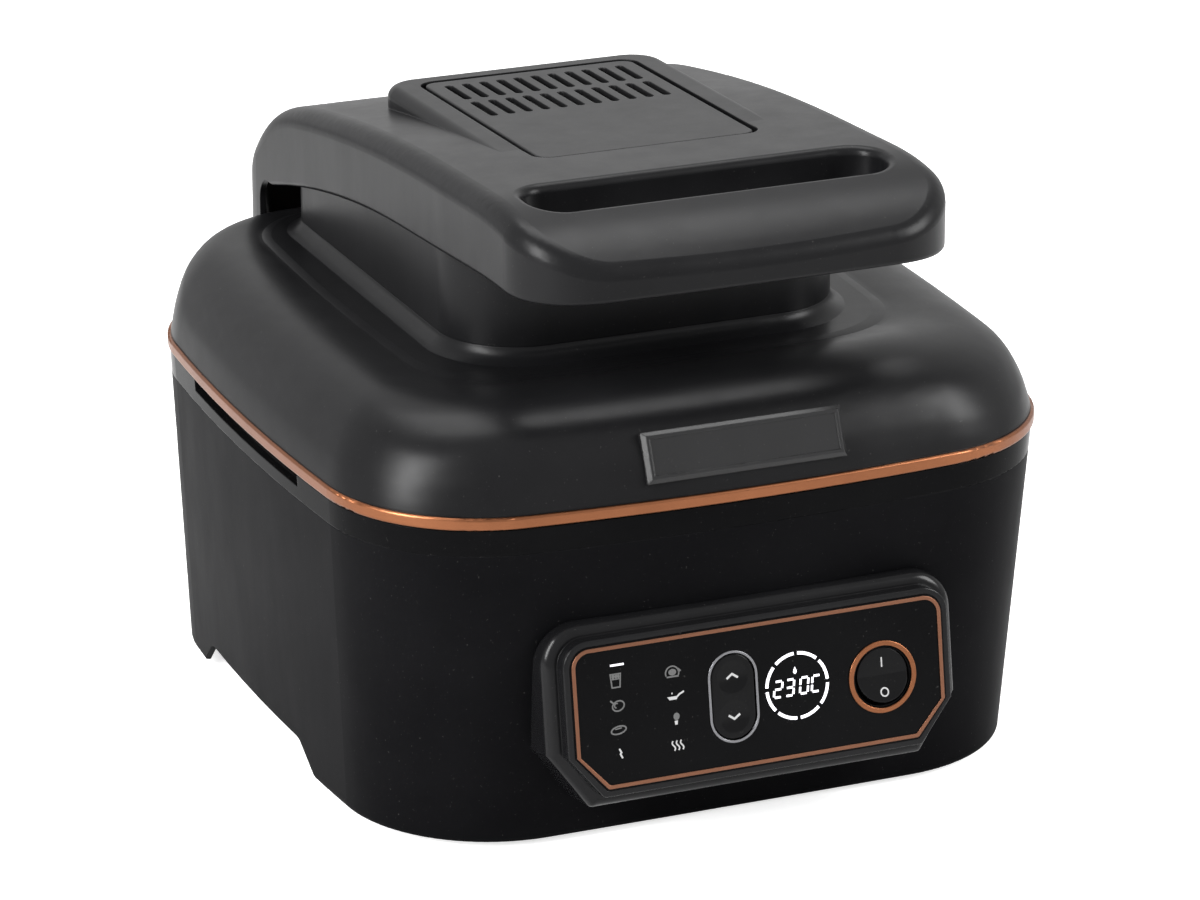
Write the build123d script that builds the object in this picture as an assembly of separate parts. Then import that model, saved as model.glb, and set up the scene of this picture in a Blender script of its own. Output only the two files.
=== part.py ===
from build123d import *
import math
import os

# A countertop air fryer grill: a square rounded base with a front control console,
# a lift-out pot and rack, and a hinged lid that carries the fan, the heater and a
# handle. Millimetres, front towards -Y, +X to the right of someone facing the front,
# ground at Z = 0. The centre of the copper ring's outline is X = Y = 0 while the
# pieces are built; the whole is moved to the centre of its footprint when written.

# Copper ring around the lid's lower edge
ring_width = 330.0
ring_depth = 337.2
ring_corner = 70.0
ring_bow_side = 9.4
ring_bow_front = 12.5
ring_height = 5.5
ring_mid_z = 150.6
ring_band = 6.0
ring_proud = 0.8

# Outer body
foot_proud = 2.5
skirt_width = 312.4
skirt_depth = 323.2
skirt_corner = 68.0
skirt_bow_side = 10.0
skirt_bow_front = 1.0
skirt_shift = 6.9
skirt_round = 2.4
base_wall = 2.8
shell_top_z = 136.0
arch_front_y = -42.0
arch_rear_y = 74.0
arch_rise = 14.0
arch_slope = 18.0
arch_round = 8.0

# Glossy rim band, its ledge and the slots for the pot's grips
lid_gap = 0.35
rim_wall = 5.5
rim_ledge_z = 143.0
rim_ledge_width = 16.0
grip_slot_front_y = -66.0
grip_slot_rear_y = 66.0
grip_slot_floor_z = 142.0

# Cavity liner, pot and rack
sheet = 1.0
liner_gap = 1.0
liner_floor_z = 40.0
liner_taper = 8.0
pot_clearance = 3.0
pot_wall = 1.8
pot_taper = 7.0
pot_flange = 7.0
pot_flange_thick = 1.6
grip_thick = 3.2
rack_clearance = 4.0
rack_thick = 2.0
rack_rise = 15.0
rack_bar = 6.0
rack_slot_width = 7.0
rack_slot_pitch = 15.0
rack_foot_radius = 6.0

rack_margin = 14.0
rack_foot_inset = 42.0
liner_round = 14.0
pot_round = 16.0
seat_gap = 0.3
grip_lap = 2.0
grip_recess = 5.0
grip_end_gap = 9.0
grip_round = 6.0

# Hot plate and its spring-loaded temperature sensor
plate_radius = 80.0
plate_thick = 4.0
plate_hub_radius = 70.0
plate_hub_depth = 10.0
element_bar = 8.0
plate_element_radius = 52.0
sensor_radius = 12.0
sensor_height = 10.0
sensor_gap = 0.4
sensor_stem_radius = 3.0

sensor_stem_spare = 3.0
element_turn = 320.0
bracket_drop = 8.0
bracket_half = 16.0
bracket_foot = 9.0
bracket_sheet = 1.2
bracket_width = 14.0
spring_wire = 1.0
spring_radius = 6.5
spring_turns = 5

# Running fits
running_gap = 0.05

# Front console
panel_half_width = 84.7
panel_half_foot = 71.5
panel_foot_z = 36.0
panel_shoulder_z = 51.0
panel_top_z = 96.0
panel_reach = 184.5
panel_lean = 9.3
panel_top_round = 8.0
frame_margin = 3.5
frame_depth = 7.0
flange_margin = 9.5
bezel_wall = 2.6
glass_thick = 2.0
glass_gap = 0.2
trim_width = 1.6
trim_inset = 0.6
trim_thick = 0.5
console_depth = 40.0

panel_low_round = 2.0
flange_round = 5.0
board_depth = 12.4
board_thick = 1.6
board_step = 9.0
board_parts = ((-50.0, 14.0, 24.0, 18.0, 5.0), (-14.0, 20.0, 16.0, 16.0, 6.0), (12.0, 6.0, 12.0, 20.0, 4.0))
icon_columns = (-65.3, -39.2)
icon_guide_width = 10.0
icon_guide_height = 46.0

# Controls on the console, placed along X and up the leaning panel from its shoulder
key_x = -12.6
key_up = 15.5
key_width = 19.6
key_height = 36.6
key_gap = 0.5
key_line = 1.0
key_thick = 3.0
key_pivot_radius = 1.0
key_pivot_depth = 6.0
key_stem_width = 8.0
key_ear = 2.0
key_ear_top = 1.8
key_pin_half = 6.0
key_dish_radius = 7.0
key_dish_depth = 0.5
display_x = 16.7
display_up = 15.6
display_radius = 15.0
switch_x = 56.2
switch_up = 13.6
switch_radius = 14.6
switch_ring_width = 2.2
switch_ring_proud = 0.8
switch_wall = 0.9
switch_depth = 22.0
rocker_gap = 0.95
rocker_tilt = 7.0
rocker_depth = 9.0
rocker_pivot_depth = 6.0
rocker_pivot_radius = 1.5

# Lid dome
dome_bow = 5.0
# Its sections from the ring upwards: insets from the ring's outline at the side, front
# and rear, rise above the ring, corner radius
dome_sections = (
    (0.0, 0.0, 0.0, 0.0, 70.0),
    (4.0, 5.5, 0.5, 7.5, 67.0),
    (9.5, 13.5, 1.2, 15.5, 63.0),
    (17.5, 25.0, 2.4, 23.5, 57.0),
    (27.0, 39.0, 4.0, 29.0, 51.0),
    (37.0, 52.0, 6.0, 32.0, 46.0),
    (56.0, 70.0, 9.0, 35.5, 42.0),
)
ring_set = 0.5
lid_wall = 2.6

# Badge plate on the lid's front, which stays bare
badge_width = 91.0
badge_foot_z = 161.0
badge_top_z = 181.0
badge_foot_reach = 168.6
badge_top_reach = 160.0
badge_bevel = 1.8
badge_depth = 16.0
badge_recess = 0.5
badge_border = 3.2

# Tower between the lid dome and the top cover
tower_front = 81.0
tower_rear = 145.0
tower_half_front = 90.5
tower_half_rear = 90.5
tower_round_front = 36.0
tower_round_rear = 24.0
tower_wall = 2.4
collar_front_z = 195.4
collar_rear_z = 194.4
neck_rise = 8.0
neck_spread = 14.0
neck_start = 25.0
tower_lap = 5.0
deck_lip = 9.0

# Top cover with the handle
cover_front = 178.0
cover_rear = 206.0
cover_half_front = 98.5
cover_half_rear = 97.0
cover_bow_front = 4.0
cover_bow_rear = 8.0
cover_round_front = 37.0
cover_round_rear = 36.0
cover_wall = 2.8
cover_edge = 9.0
cover_roll = 2.0
rear_leg_foot_z = 160.0
rear_leg_front = 162.0
# Points of the cover's side view, as Y and Z: its crown from the front over the
# handle and down the rear leg, and its lower edge from the front to the rear arch
cover_crown = (
    (-188.0, 246.0),
    (-178.0, 257.0),
    (-162.0, 267.5),
    (-140.0, 274.0),
    (-95.0, 274.5),
    (-35.0, 271.0),
    (28.0, 265.0),
    (94.0, 255.0),
    (128.0, 247.5),
    (154.0, 236.0),
    (174.0, 219.0),
    (188.0, 199.0),
    (197.0, 160.0),
)
cover_low = (
    (-184.0, 247.6),
    (-178.0, 245.4),
    (-167.0, 243.4),
    (-153.0, 242.4),
    (-130.0, 242.2),
    (-86.0, 239.6),
    (-39.0, 236.3),
    (8.5, 232.5),
    (58.0, 225.8),
    (110.0, 215.4),
    (146.0, 206.0),
)
arch_turn = 12.0
underside_thick = 2.4
underside_lift = 1.2
platform_half_width = 66.0
platform_front_y = -76.0
platform_rear_y = 90.0
platform_edge = 5.0

# Finger slot behind the handle bar
slot_half_width = 81.0
slot_front = 138.0
slot_rear = 106.0
slot_wall = 2.6
slot_lip = 3.5
slot_round = 14.0

# Vent plate
vent_half_width = 50.0
vent_rear_y = 76.0
vent_front_y = -63.0
vent_rear_z = 267.6
vent_front_z = 272.3
vent_thick = 2.4
vent_gap = 2.4
vent_corner = 6.0
vent_slot_count = 11
vent_slot_width = 4.0
vent_slot_length = 26.0
vent_slot_pitch = 8.2
vent_row_gap = 5.0
vent_first_row = 8.0
vent_seat = 3.2
vent_well_half = 42.0
vent_well_margin = 5.0
platform_depth = 12.0
platform_corner = 16.0

# Heater and fan in the lid
chamber_radius = 102.0
chamber_height = 25.0
heater_bar = 6.5
heater_radii = (74.0, 88.0)
heater_z = 161.0
guard_thick = 1.0
guard_rings = ((30.0, 12), (52.0, 20), (74.0, 28))
guard_slot = 14.0
shaft_radius = 3.0
shaft_foot_z = 156.0
shaft_top_z = 244.0
fan_radius = 58.0
fan_z = 160.0
fan_height = 12.0
fan_blades = 10
cooling_radius = 42.0
cooling_z = 229.0
cooling_height = 10.0
cooling_blades = 9
motor_radius = 30.0
motor_height = 30.0
motor_plate_width = 60.0
motor_plate_thick = 1.5
chamber_round = 8.0
gasket_set = 1.0
gasket_width = 5.0
fan_sheet = 1.0
fan_blade_tilt = 22.0
lid_boss_x = 128.0
lid_boss_y = 78.0
lid_boss_radius = 4.5
post_radius = 4.5
post_spots = ((-84.8, -42.0), (84.8, -42.0), (-84.8, 108.0), (84.8, 108.0))
post_top_z = 213.0
fan_hub_radius = 14.0
nut_radius = 5.5
nut_height = 3.5

# Lid hinge
hinge_y = 182.0
hinge_z = 142.5
knuckle_radius = 7.0
pin_radius = 2.5
base_knuckle_inner = 34.0
base_knuckle_outer = 58.0
lid_knuckle_inner = 10.0
knuckle_gap = 0.4
arm_top_z = 166.0
arm_rear_y = 176.0
arm_gap = 0.5
bracket_low_z = 96.0
bracket_top_z = 130.0
bracket_proud = 4.0
pin_head_radius = 4.0
pin_head = 1.6

# Bottom plate, feet, screws and cord gland
plate_z = 15.0
plate_sheet = 1.5
foot_radius = 11.0
foot_inset = 36.0
gland_radius = 7.0
hinge_screw_x = (-26.0, -9.0, 9.0, 26.0)
hinge_screw_z = 113.0
gland_z = 30.0
gland_x = -92.0
gland_inside = 6.0
gland_outside = 5.0
gland_bore = 3.6
boss_y = 96.0
boss_reach = 18.0
boss_width = 11.0
boss_height = 14.0
screw_radius = 1.7
screw_head_radius = 3.2
screw_head = 1.8
rear_vent_pitch = 12.0
rear_vent_z = 62.0
rear_vent_length = 30.0
rear_vent_width = 4.0


def pad(width, depth, corner, bow_side, bow_front, shift=0.0):
    """Outline with rounded corners and gently bowed sides, seen from above."""
    x = width / 2 - bow_side
    y = depth / 2 - bow_front
    edges = [
        ThreePointArc((x, -y), (width / 2, 0), (x, y)),
        ThreePointArc((x, y), (0, depth / 2), (-x, y)),
        ThreePointArc((-x, y), (-width / 2, 0), (-x, -y)),
        ThreePointArc((-x, -y), (0, -depth / 2), (x, -y)),
    ]
    face = fillet(make_face(edges).vertices(), corner)
    return Pos(0, shift, 0) * face


def between(low, high, share):
    return low + (high - low) * share


def ring_outline(inset):
    return pad(
        ring_width - 2 * inset,
        ring_depth - 2 * inset,
        ring_corner - inset,
        ring_bow_side,
        ring_bow_front,
    )


def body_outline(z, inset=0.0):
    """The base tapers evenly from the ring's outline down to the skirt's."""
    share = (z - foot_proud) / (ring_mid_z - foot_proud)
    face = pad(
        between(skirt_width, ring_width, share) - 2 * inset,
        between(skirt_depth, ring_depth, share) - 2 * inset,
        between(skirt_corner, ring_corner, share) - inset,
        between(skirt_bow_side, ring_bow_side, share),
        between(skirt_bow_front, ring_bow_front, share),
        between(skirt_shift, 0, share),
    )
    return Pos(0, 0, z) * face


def body_block(low, high, inset=0.0):
    return loft([body_outline(low, inset), body_outline(high, inset)], ruled=True)


def slab(face, low, high):
    """The face, drawn at Z = 0, as a plate between two heights."""
    return extrude(Pos(0, 0, low) * face, high - low, dir=(0, 0, 1))


def tube(radius, low, high, x=0.0, y=0.0):
    return slab(Pos(x, y) * Circle(radius), low, high)


def along_x(radius, x_low, x_high, y, z):
    """Cylinder whose axis runs along X."""
    start = Plane(origin=(x_low, y, z), z_dir=(1, 0, 0))
    return extrude(start * Circle(radius), x_high - x_low)


def along_y(radius, x, y_low, y_high, z):
    """Cylinder whose axis runs along Y."""
    start = Plane(origin=(x, y_low, z), z_dir=(0, 1, 0))
    return extrude(start * Circle(radius), y_high - y_low)


def block(x_low, x_high, y_low, y_high, z_low, z_high):
    size = Box(x_high - x_low, y_high - y_low, z_high - z_low)
    return Pos((x_low + x_high) / 2, (y_low + y_high) / 2, (z_low + z_high) / 2) * size


rim_top_z = ring_mid_z - ring_height / 2 - lid_gap
ring_low_z = ring_mid_z - ring_height / 2
ring_top_z = ring_mid_z + ring_height / 2
dome_rise = dome_sections[-1][3]
deck_z = ring_top_z + dome_rise
shield_z = ring_top_z
insulation_z = shield_z + chamber_height
hub_foot_z = liner_floor_z + sheet - plate_hub_depth
switch_bore = switch_radius - switch_ring_width / 2
rocker_radius = switch_bore - switch_wall - rocker_gap
key_pad_up = (key_height - key_width) / 2
collar_slope = (collar_front_z - collar_rear_z) / (tower_front + tower_rear)


def side_prism(face, half_width):
    """A face drawn in the YZ plane, thickened evenly to both sides of X = 0."""
    return extrude(Plane.YZ.offset(-half_width) * face, 2 * half_width)


def polygon(points, radius=0.0):
    face = make_face(Polyline(*points, close=True))
    if radius > 0:
        face = fillet(face.vertices(), radius)
    return face


# Base shell

outer_body = body_block(foot_proud, rim_top_z)
outer_body = fillet(outer_body.edges().group_by(Axis.Z)[0], skirt_round)


def arch_cutter():
    """Raised stretch of the skirt between the front and rear legs of each side."""
    top = foot_proud + arch_rise
    points = [
        (arch_front_y - arch_slope, foot_proud - 1),
        (arch_front_y, top),
        (arch_rear_y, top),
        (arch_rear_y + arch_slope, foot_proud - 1),
    ]
    face = make_face(Polyline(*points, close=True))
    crown = face.vertices().group_by(Axis.Y)[-1]
    return side_prism(fillet(crown, arch_round), ring_width)


boss_z = plate_z + plate_sheet
boss_spots = [(side, y) for side in (-1, 1) for y in (-boss_y, boss_y)]


def boss(side, y):
    """Screw boss that stands out from the side wall above the bottom plate."""
    x = skirt_width / 2 - boss_reach
    return block(
        min(side * x, side * ring_width / 2),
        max(side * x, side * ring_width / 2),
        y - boss_width / 2,
        y + boss_width / 2,
        boss_z,
        boss_z + boss_height,
    )


def screw_x(side):
    return side * (skirt_width / 2 - boss_reach + boss_width / 2)


# Console frame: a leaning plane whose origin is the panel's shoulder at the front

lean = math.radians(panel_lean)
console = Plane(
    origin=(0, -panel_reach, panel_shoulder_z),
    x_dir=(1, 0, 0),
    z_dir=(0, -math.cos(lean), math.sin(lean)),
)


def panel_face(margin):
    """The panel's outline, with rounded top corners and cut lower corners."""
    top = (panel_top_z - panel_shoulder_z) / math.cos(lean) + margin
    foot = (panel_shoulder_z - panel_foot_z) / math.cos(lean) + margin
    wide = panel_half_width + margin
    narrow = panel_half_foot + margin * 0.5
    face = polygon(
        [(-wide, top), (wide, top), (wide, 0), (narrow, -foot), (-narrow, -foot), (-wide, 0)]
    )
    corners = face.vertices().group_by(Axis.Y)
    face = fillet(corners[-1], panel_top_round + margin)
    return fillet(face.vertices().group_by(Axis.Y)[0], panel_low_round)


def on_console(face, low, high):
    """A face of the panel's plane as a plate between two depths, outwards positive."""
    return extrude(console.offset(low) * face, high - low)


def front_edges(solid):
    """Edges around the face that looks squarely out of the console."""
    faces = [face for face in solid.faces() if face.normal_at().dot(console.z_dir) > 0.999]
    return max(faces, key=lambda face: face.center().dot(console.z_dir)).edges()


def capsule(width, height):
    return SlotCenterToCenter(height - width, width, rotation=90)


key_spot = Pos(key_x, key_up)
display_spot = Pos(display_x, display_up)
switch_spot = Pos(switch_x, switch_up)


def base_shell():
    shell = outer_body & block(-ring_width, ring_width, -ring_depth, ring_depth, 0, shell_top_z)
    shell -= body_block(foot_proud - 1, shell_top_z + 1, base_wall)
    for side, y in boss_spots:
        shell += boss(side, y) & outer_body
        shell -= tube(screw_radius, boss_z - 1, boss_z + boss_height - 2, screw_x(side), y)
    shell -= arch_cutter()
    shell -= on_console(panel_face(-bezel_wall), -console_depth - 10, -frame_depth)
    inlet = Plane(origin=(gland_x, skirt_depth / 2 - 20, gland_z), z_dir=(0, 1, 0))
    shell -= extrude(inlet * Circle(gland_radius), 60)
    for x in hinge_screw_x:
        shell -= along_y(screw_radius, x, 0, ring_depth, hinge_screw_z)
    for column in range(-3, 4):
        x = column * rear_vent_pitch
        vent = Plane(origin=(x, skirt_depth / 2 - 20, rear_vent_z), z_dir=(0, 1, 0))
        slot = SlotCenterToCenter(rear_vent_length - rear_vent_width, rear_vent_width, rotation=90)
        shell -= extrude(vent * slot, 60)
    return shell


def rim_band():
    band = outer_body & block(
        -ring_width, ring_width, -ring_depth, ring_depth, shell_top_z, rim_top_z
    )
    band -= slab(ring_outline(rim_wall), rim_ledge_z, rim_top_z + 1)
    band -= slab(ring_outline(rim_wall + rim_ledge_width), shell_top_z - 1, rim_ledge_z + 1)
    band -= block(
        -ring_width,
        ring_width,
        grip_slot_front_y,
        grip_slot_rear_y,
        grip_slot_floor_z,
        rim_top_z + 1,
    ) - slab(ring_outline(rim_wall + 1), 0, ring_mid_z)
    return band


liner_inset = rim_wall + rim_ledge_width + liner_gap
pot_inset = liner_inset + sheet + pot_clearance
liner_top_z = rim_ledge_z + sheet
pot_floor_z = liner_floor_z + sheet + plate_thick
pot_rim_z = liner_top_z + seat_gap


def tub(inset, floor_z, top_z, taper):
    """A rounded tub block whose walls lean in towards its floor."""
    return loft(
        [
            Pos(0, 0, floor_z) * ring_outline(inset + taper),
            Pos(0, 0, top_z) * ring_outline(inset),
        ],
        ruled=True,
    )


def cavity_liner():
    liner = tub(liner_inset, liner_floor_z, rim_ledge_z, liner_taper)
    liner = fillet(liner.edges().group_by(Axis.Z)[0], liner_round)
    liner += slab(ring_outline(rim_wall + 0.5), rim_ledge_z, liner_top_z)
    inner = tub(liner_inset + sheet, liner_floor_z + sheet, liner_top_z, liner_taper)
    liner -= fillet(inner.edges().group_by(Axis.Z)[0], liner_round - sheet)
    return liner - tube(plate_hub_radius + seat_gap, 0, liner_floor_z + 5)


def hot_plate():
    seat = liner_floor_z + sheet
    plate = tube(plate_radius, seat, seat + plate_thick)
    plate = fillet(plate.edges().group_by(Axis.Z)[-1], 1)
    plate += tube(plate_hub_radius, seat - plate_hub_depth, seat)
    return plate - tube(sensor_radius + sensor_gap, 0, seat + plate_thick + 1)


def plate_element():
    """Bent tube cast under the hot plate, flat where it meets the hub."""
    r = plate_element_radius
    half = element_bar / 2
    z = hub_foot_z
    bar = polygon([(r - half, z), (r + half, z), (r + half, z - half), (r - half, z - half)])
    bar += Pos(r, z - half) * Circle(half)
    ring = revolve(Plane.XZ * bar, Axis.Z, element_turn)
    ring = Rot(0, 0, 90 + (360 - element_turn) / 2) * ring
    return ring


sensor_top_z = pot_floor_z
sensor_floor_z = hub_foot_z - bracket_drop


def sensor_cap():
    low = sensor_top_z - sensor_height
    cap = tube(sensor_radius, low, sensor_top_z)
    cap = fillet(cap.edges().group_by(Axis.Z)[-1], 1)
    stem = tube(sensor_stem_radius, sensor_floor_z - sensor_stem_spare, low)
    return cap + stem


def sensor_bracket():
    """Hat-shaped strap under the hub that guides the sensor's stem."""
    z = hub_foot_z
    low = sensor_floor_z
    half = bracket_half
    foot = bracket_foot
    hat = [
        (-half - foot, z),
        (-half - foot, z - bracket_sheet),
        (-half - bracket_sheet, z - bracket_sheet),
        (-half - bracket_sheet, low - bracket_sheet),
        (half + bracket_sheet, low - bracket_sheet),
        (half + bracket_sheet, z - bracket_sheet),
        (half + foot, z - bracket_sheet),
        (half + foot, z),
        (half, z),
        (half, low),
        (-half, low),
        (-half, z),
    ]
    strap = extrude(Plane.XZ * polygon(hat), bracket_width / 2, both=True)
    return strap - tube(sensor_stem_radius + running_gap, 0, z)


def sensor_spring():
    low = sensor_floor_z + spring_wire / 2
    high = sensor_top_z - sensor_height - spring_wire / 2
    path = Helix(pitch=(high - low) / spring_turns, height=high - low, radius=spring_radius)
    section = Plane(origin=path @ 0, z_dir=path % 0) * Circle(spring_wire / 2)
    return Pos(0, 0, low) * sweep(section, path=path, is_frenet=True)


def cooking_pot():
    pot = tub(pot_inset, pot_floor_z, pot_rim_z, pot_taper)
    pot = fillet(pot.edges().group_by(Axis.Z)[0], pot_round)
    pot += slab(ring_outline(pot_inset - pot_flange), pot_rim_z, pot_rim_z + pot_flange_thick)
    inner = tub(pot_inset + pot_wall, pot_floor_z + pot_wall, pot_rim_z + 2, pot_taper)
    pot -= fillet(inner.edges().group_by(Axis.Z)[0], pot_round - pot_wall)
    return pot


def pot_grips():
    """Heat-proof grips that reach from the pot's flange out into the rim's slots."""
    near = ring_width / 2 - pot_inset + pot_flange - grip_lap
    far = ring_width / 2 - grip_recess
    y_low = grip_slot_front_y + grip_end_gap
    y_high = grip_slot_rear_y - grip_end_gap
    low = pot_rim_z
    flange = slab(ring_outline(pot_inset - pot_flange), 0, ring_mid_z)
    grips = []
    for side in (-1, 1):
        x_low, x_high = sorted((side * near, side * far))
        grip = block(x_low, x_high, y_low, y_high, low, low + grip_thick)
        outer = grip.edges().filter_by(Axis.Z).sort_by(Axis.X)
        outer = outer[-2:] if side > 0 else outer[:2]
        grips.append(fillet(outer, grip_round) - flange)
    return Compound(grips)


rack_z = pot_floor_z + pot_wall + rack_rise


def crisping_rack():
    share = (rack_z - pot_floor_z) / (pot_rim_z - pot_floor_z)
    inset = pot_inset + pot_wall + rack_clearance + pot_taper * (1 - share)
    rack = slab(ring_outline(inset), rack_z, rack_z + rack_thick)
    half = ring_depth / 2 - inset
    columns = int((ring_width / 2 - inset - rack_margin) / rack_slot_pitch)
    length = half - rack_margin - rack_slot_pitch / 2
    slot = SlotOverall(length, rack_slot_width, rotation=90)
    for column in range(-columns + 1, columns):
        x = column * rack_slot_pitch
        for row in (-1, 1):
            y = row * (length + rack_bar) / 2
            rack -= slab(Pos(x, y) * slot, rack_z - 1, rack_z + rack_thick + 1)
    return rack


def rack_feet():
    low = pot_floor_z + pot_wall
    x = ring_width / 2 - pot_inset - rack_foot_inset
    y = ring_depth / 2 - pot_inset - rack_foot_inset
    spots = [(sx * x, sy * y) for sx in (-1, 1) for sy in (-1, 1)]
    return Compound([tube(rack_foot_radius, low, rack_z, *spot) for spot in spots])


# Bottom of the base


def bottom_plate():
    inset = base_wall + seat_gap
    plate = slab(Pos(0, 0, -plate_z) * body_outline(plate_z, inset), plate_z, boss_z)
    for side, y in boss_spots:
        plate -= tube(screw_radius + 0.2, 0, boss_z + 1, screw_x(side), y)
    for column in range(-5, 6):
        for y in (-60, 60):
            slot = Pos(column * 12, y) * SlotOverall(60, 4, rotation=90)
            plate -= slab(slot, 0, boss_z + 1)
    return plate


def foot_spots():
    x = skirt_width / 2 - foot_inset
    y = skirt_depth / 2 - foot_inset
    return [(sx * x, sy * y + skirt_shift) for sx in (-1, 1) for sy in (-1, 1)]


def rubber_feet():
    feet = []
    for x, y in foot_spots():
        foot = loft(
            [Pos(x, y, 0) * Circle(foot_radius - 1.5), Pos(x, y, plate_z) * Circle(foot_radius)]
        )
        feet.append(foot)
    return Compound(feet)


def screw(x, y, seat_z, length):
    """Round-headed screw: the head lies below its seat, the shank runs above it."""
    head = tube(screw_head_radius, seat_z - screw_head, seat_z, x, y)
    return head + tube(screw_radius - 0.1, seat_z, seat_z + length, x, y)


def bottom_screws():
    return Compound([screw(screw_x(side), y, plate_z, 9) for side, y in boss_spots])


def cord_gland():
    start = skirt_depth / 2 - gland_inside
    gland = Plane(origin=(gland_x, start, gland_z), z_dir=(0, 1, 0))
    rear = skirt_depth / 2 + skirt_shift + gland_outside - start
    bush = extrude(gland * Circle(gland_radius - 0.1), rear)
    collar = extrude(gland * Circle(gland_radius + 3), rear)
    collar -= outer_body
    outside = block(-200, 200, skirt_depth / 2, 300, 0, 100)
    return (bush + (collar & outside)) - extrude(gland * Circle(gland_bore), 60)


# Console pieces


def control_bezel():
    frame = on_console(panel_face(frame_margin), -frame_depth - 1, 0)
    frame = fillet(front_edges(frame), 0.8)
    flange = on_console(panel_face(flange_margin), -console_depth, -frame_depth)
    flange = fillet(front_edges(flange), flange_round)
    bezel = frame + flange
    bezel -= on_console(panel_face(trim_inset + glass_gap), -glass_thick, 1)
    bezel -= on_console(panel_face(-bezel_wall), -console_depth - 1, 0)
    filled = body_block(foot_proud, rim_top_z)
    return bezel - filled


def control_glass():
    glass = on_console(panel_face(trim_inset), -glass_thick, 0)
    hole = key_spot * capsule(key_width + 2 * key_gap, key_height + 2 * key_gap)
    glass -= on_console(hole, -glass_thick - 1, 1)
    return glass - on_console(switch_spot * Circle(switch_bore), -glass_thick - 1, 1)


def panel_trim():
    return on_console(panel_face(0) - panel_face(-trim_width), 0, trim_thick)


def key_outline():
    hole = capsule(key_width + 2 * key_gap, key_height + 2 * key_gap)
    rim = capsule(
        key_width + 2 * key_gap + 2 * key_line, key_height + 2 * key_gap + 2 * key_line
    )
    return on_console(key_spot * (rim - hole), 0, trim_thick * 0.6)


def adjust_key():
    """Capsule key with a shallow dish at each end, rocking on a cross pin."""
    key = on_console(key_spot * capsule(key_width, key_height), -key_thick, 0)
    key = fillet(front_edges(key), 0.5)
    sphere = key_dish_radius**2 / (2 * key_dish_depth) + key_dish_depth / 2
    for end in (-1, 1):
        dish = console.offset(sphere - key_dish_depth) * Pos(key_x, key_up + end * key_pad_up)
        key -= dish * Sphere(sphere)
    stem = key_spot * Rectangle(key_stem_width, key_stem_width)
    key += on_console(stem, -key_pivot_depth - key_pivot_radius, -key_thick)
    return key + console_pin(key_x, key_up, -key_pivot_depth, key_pivot_radius, key_pin_half)


def console_pin(x, up, depth, radius, half_length):
    """Pin along X at a place on the console, centred on x."""
    centre = console.from_local_coords(Vector(x, up, depth))
    return along_x(radius, x - half_length, x + half_length, centre.Y, centre.Z)


def key_bracket():
    """Two ears that stand on the control board and carry the key's pin."""
    ears = []
    for side in (-1, 1):
        x = key_x + side * (key_stem_width / 2 + key_ear / 2 + 0.4)
        ear = Pos(x, key_up) * Rectangle(key_ear, key_stem_width)
        ears.append(on_console(ear, -board_depth, -key_pivot_depth + key_ear_top))
    base = key_spot * Rectangle(key_stem_width + 2 * key_ear + 0.8, key_stem_width)
    bracket = on_console(base, -board_depth, -board_depth + 1) + ears[0] + ears[1]
    bore = key_pivot_radius + running_gap
    return bracket - console_pin(key_x, key_up, -key_pivot_depth, bore, key_pin_half + 1)


def control_board():
    board = on_console(panel_face(-bezel_wall - seat_gap), -board_depth - board_thick, -board_depth)
    hole = switch_spot * Circle(switch_bore)
    return board - on_console(hole, -console_depth, 0)


def display_module():
    return on_console(display_spot * Circle(display_radius + 1.5), -board_depth, -glass_thick)


def icon_lamps():
    """Light guides behind the two columns of function marks."""
    guides = []
    for x in icon_columns:
        guide = Pos(x, display_up) * Rectangle(icon_guide_width, icon_guide_height)
        guides.append(on_console(guide, -board_depth, -glass_thick))
    return Compound(guides)


def power_board():
    low = -board_depth - board_thick - board_step
    board = on_console(panel_face(-bezel_wall - seat_gap), low, low + board_thick)
    for x, up, wide, high, tall in board_parts:
        part = Pos(x, up) * Rectangle(wide, high)
        board += on_console(part, low + board_thick, low + board_thick + tall)
    return board - on_console(switch_spot * Circle(switch_bore), -console_depth, 0)


def switch_ring():
    ring = Circle(switch_radius + switch_ring_width / 2) - Circle(switch_bore)
    trim = on_console(switch_spot * ring, 0, switch_ring_proud)
    return fillet(front_edges(trim), 0.3)


def switch_body():
    cup = on_console(switch_spot * Circle(switch_bore - 0.1), -switch_depth, -0.2)
    well = switch_spot * Circle(switch_bore - switch_wall)
    cup -= on_console(well, -switch_depth + 3, 1)
    bore = rocker_pivot_radius + running_gap
    return cup - console_pin(switch_x, switch_up, -rocker_pivot_depth, bore, switch_bore + 1)


def power_rocker():
    """Round rocker with a valley across its face, resting with its upper half pressed."""
    rise = rocker_radius * math.tan(math.radians(rocker_tilt))
    r = rocker_radius
    valley = polygon(
        [(-r - 1, -rocker_depth), (r + 1, -rocker_depth), (r + 1, rise), (0, 0), (-r - 1, rise)]
    )
    side = Plane(
        origin=console.from_local_coords(Vector(0, switch_up, 0)),
        x_dir=console.y_dir,
        z_dir=console.x_dir,
    )
    wedge = extrude(side * valley, ring_width, both=True)
    body = on_console(switch_spot * Circle(r), -rocker_depth, rise + 1) & wedge
    pin_half = switch_bore - 0.3
    body += console_pin(switch_x, switch_up, -rocker_pivot_depth, rocker_pivot_radius, pin_half)
    pivot = console.from_local_coords(Vector(switch_x, switch_up, -rocker_pivot_depth))
    return body.rotate(Axis(pivot, (1, 0, 0)), -rocker_tilt)


# Lid


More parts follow.
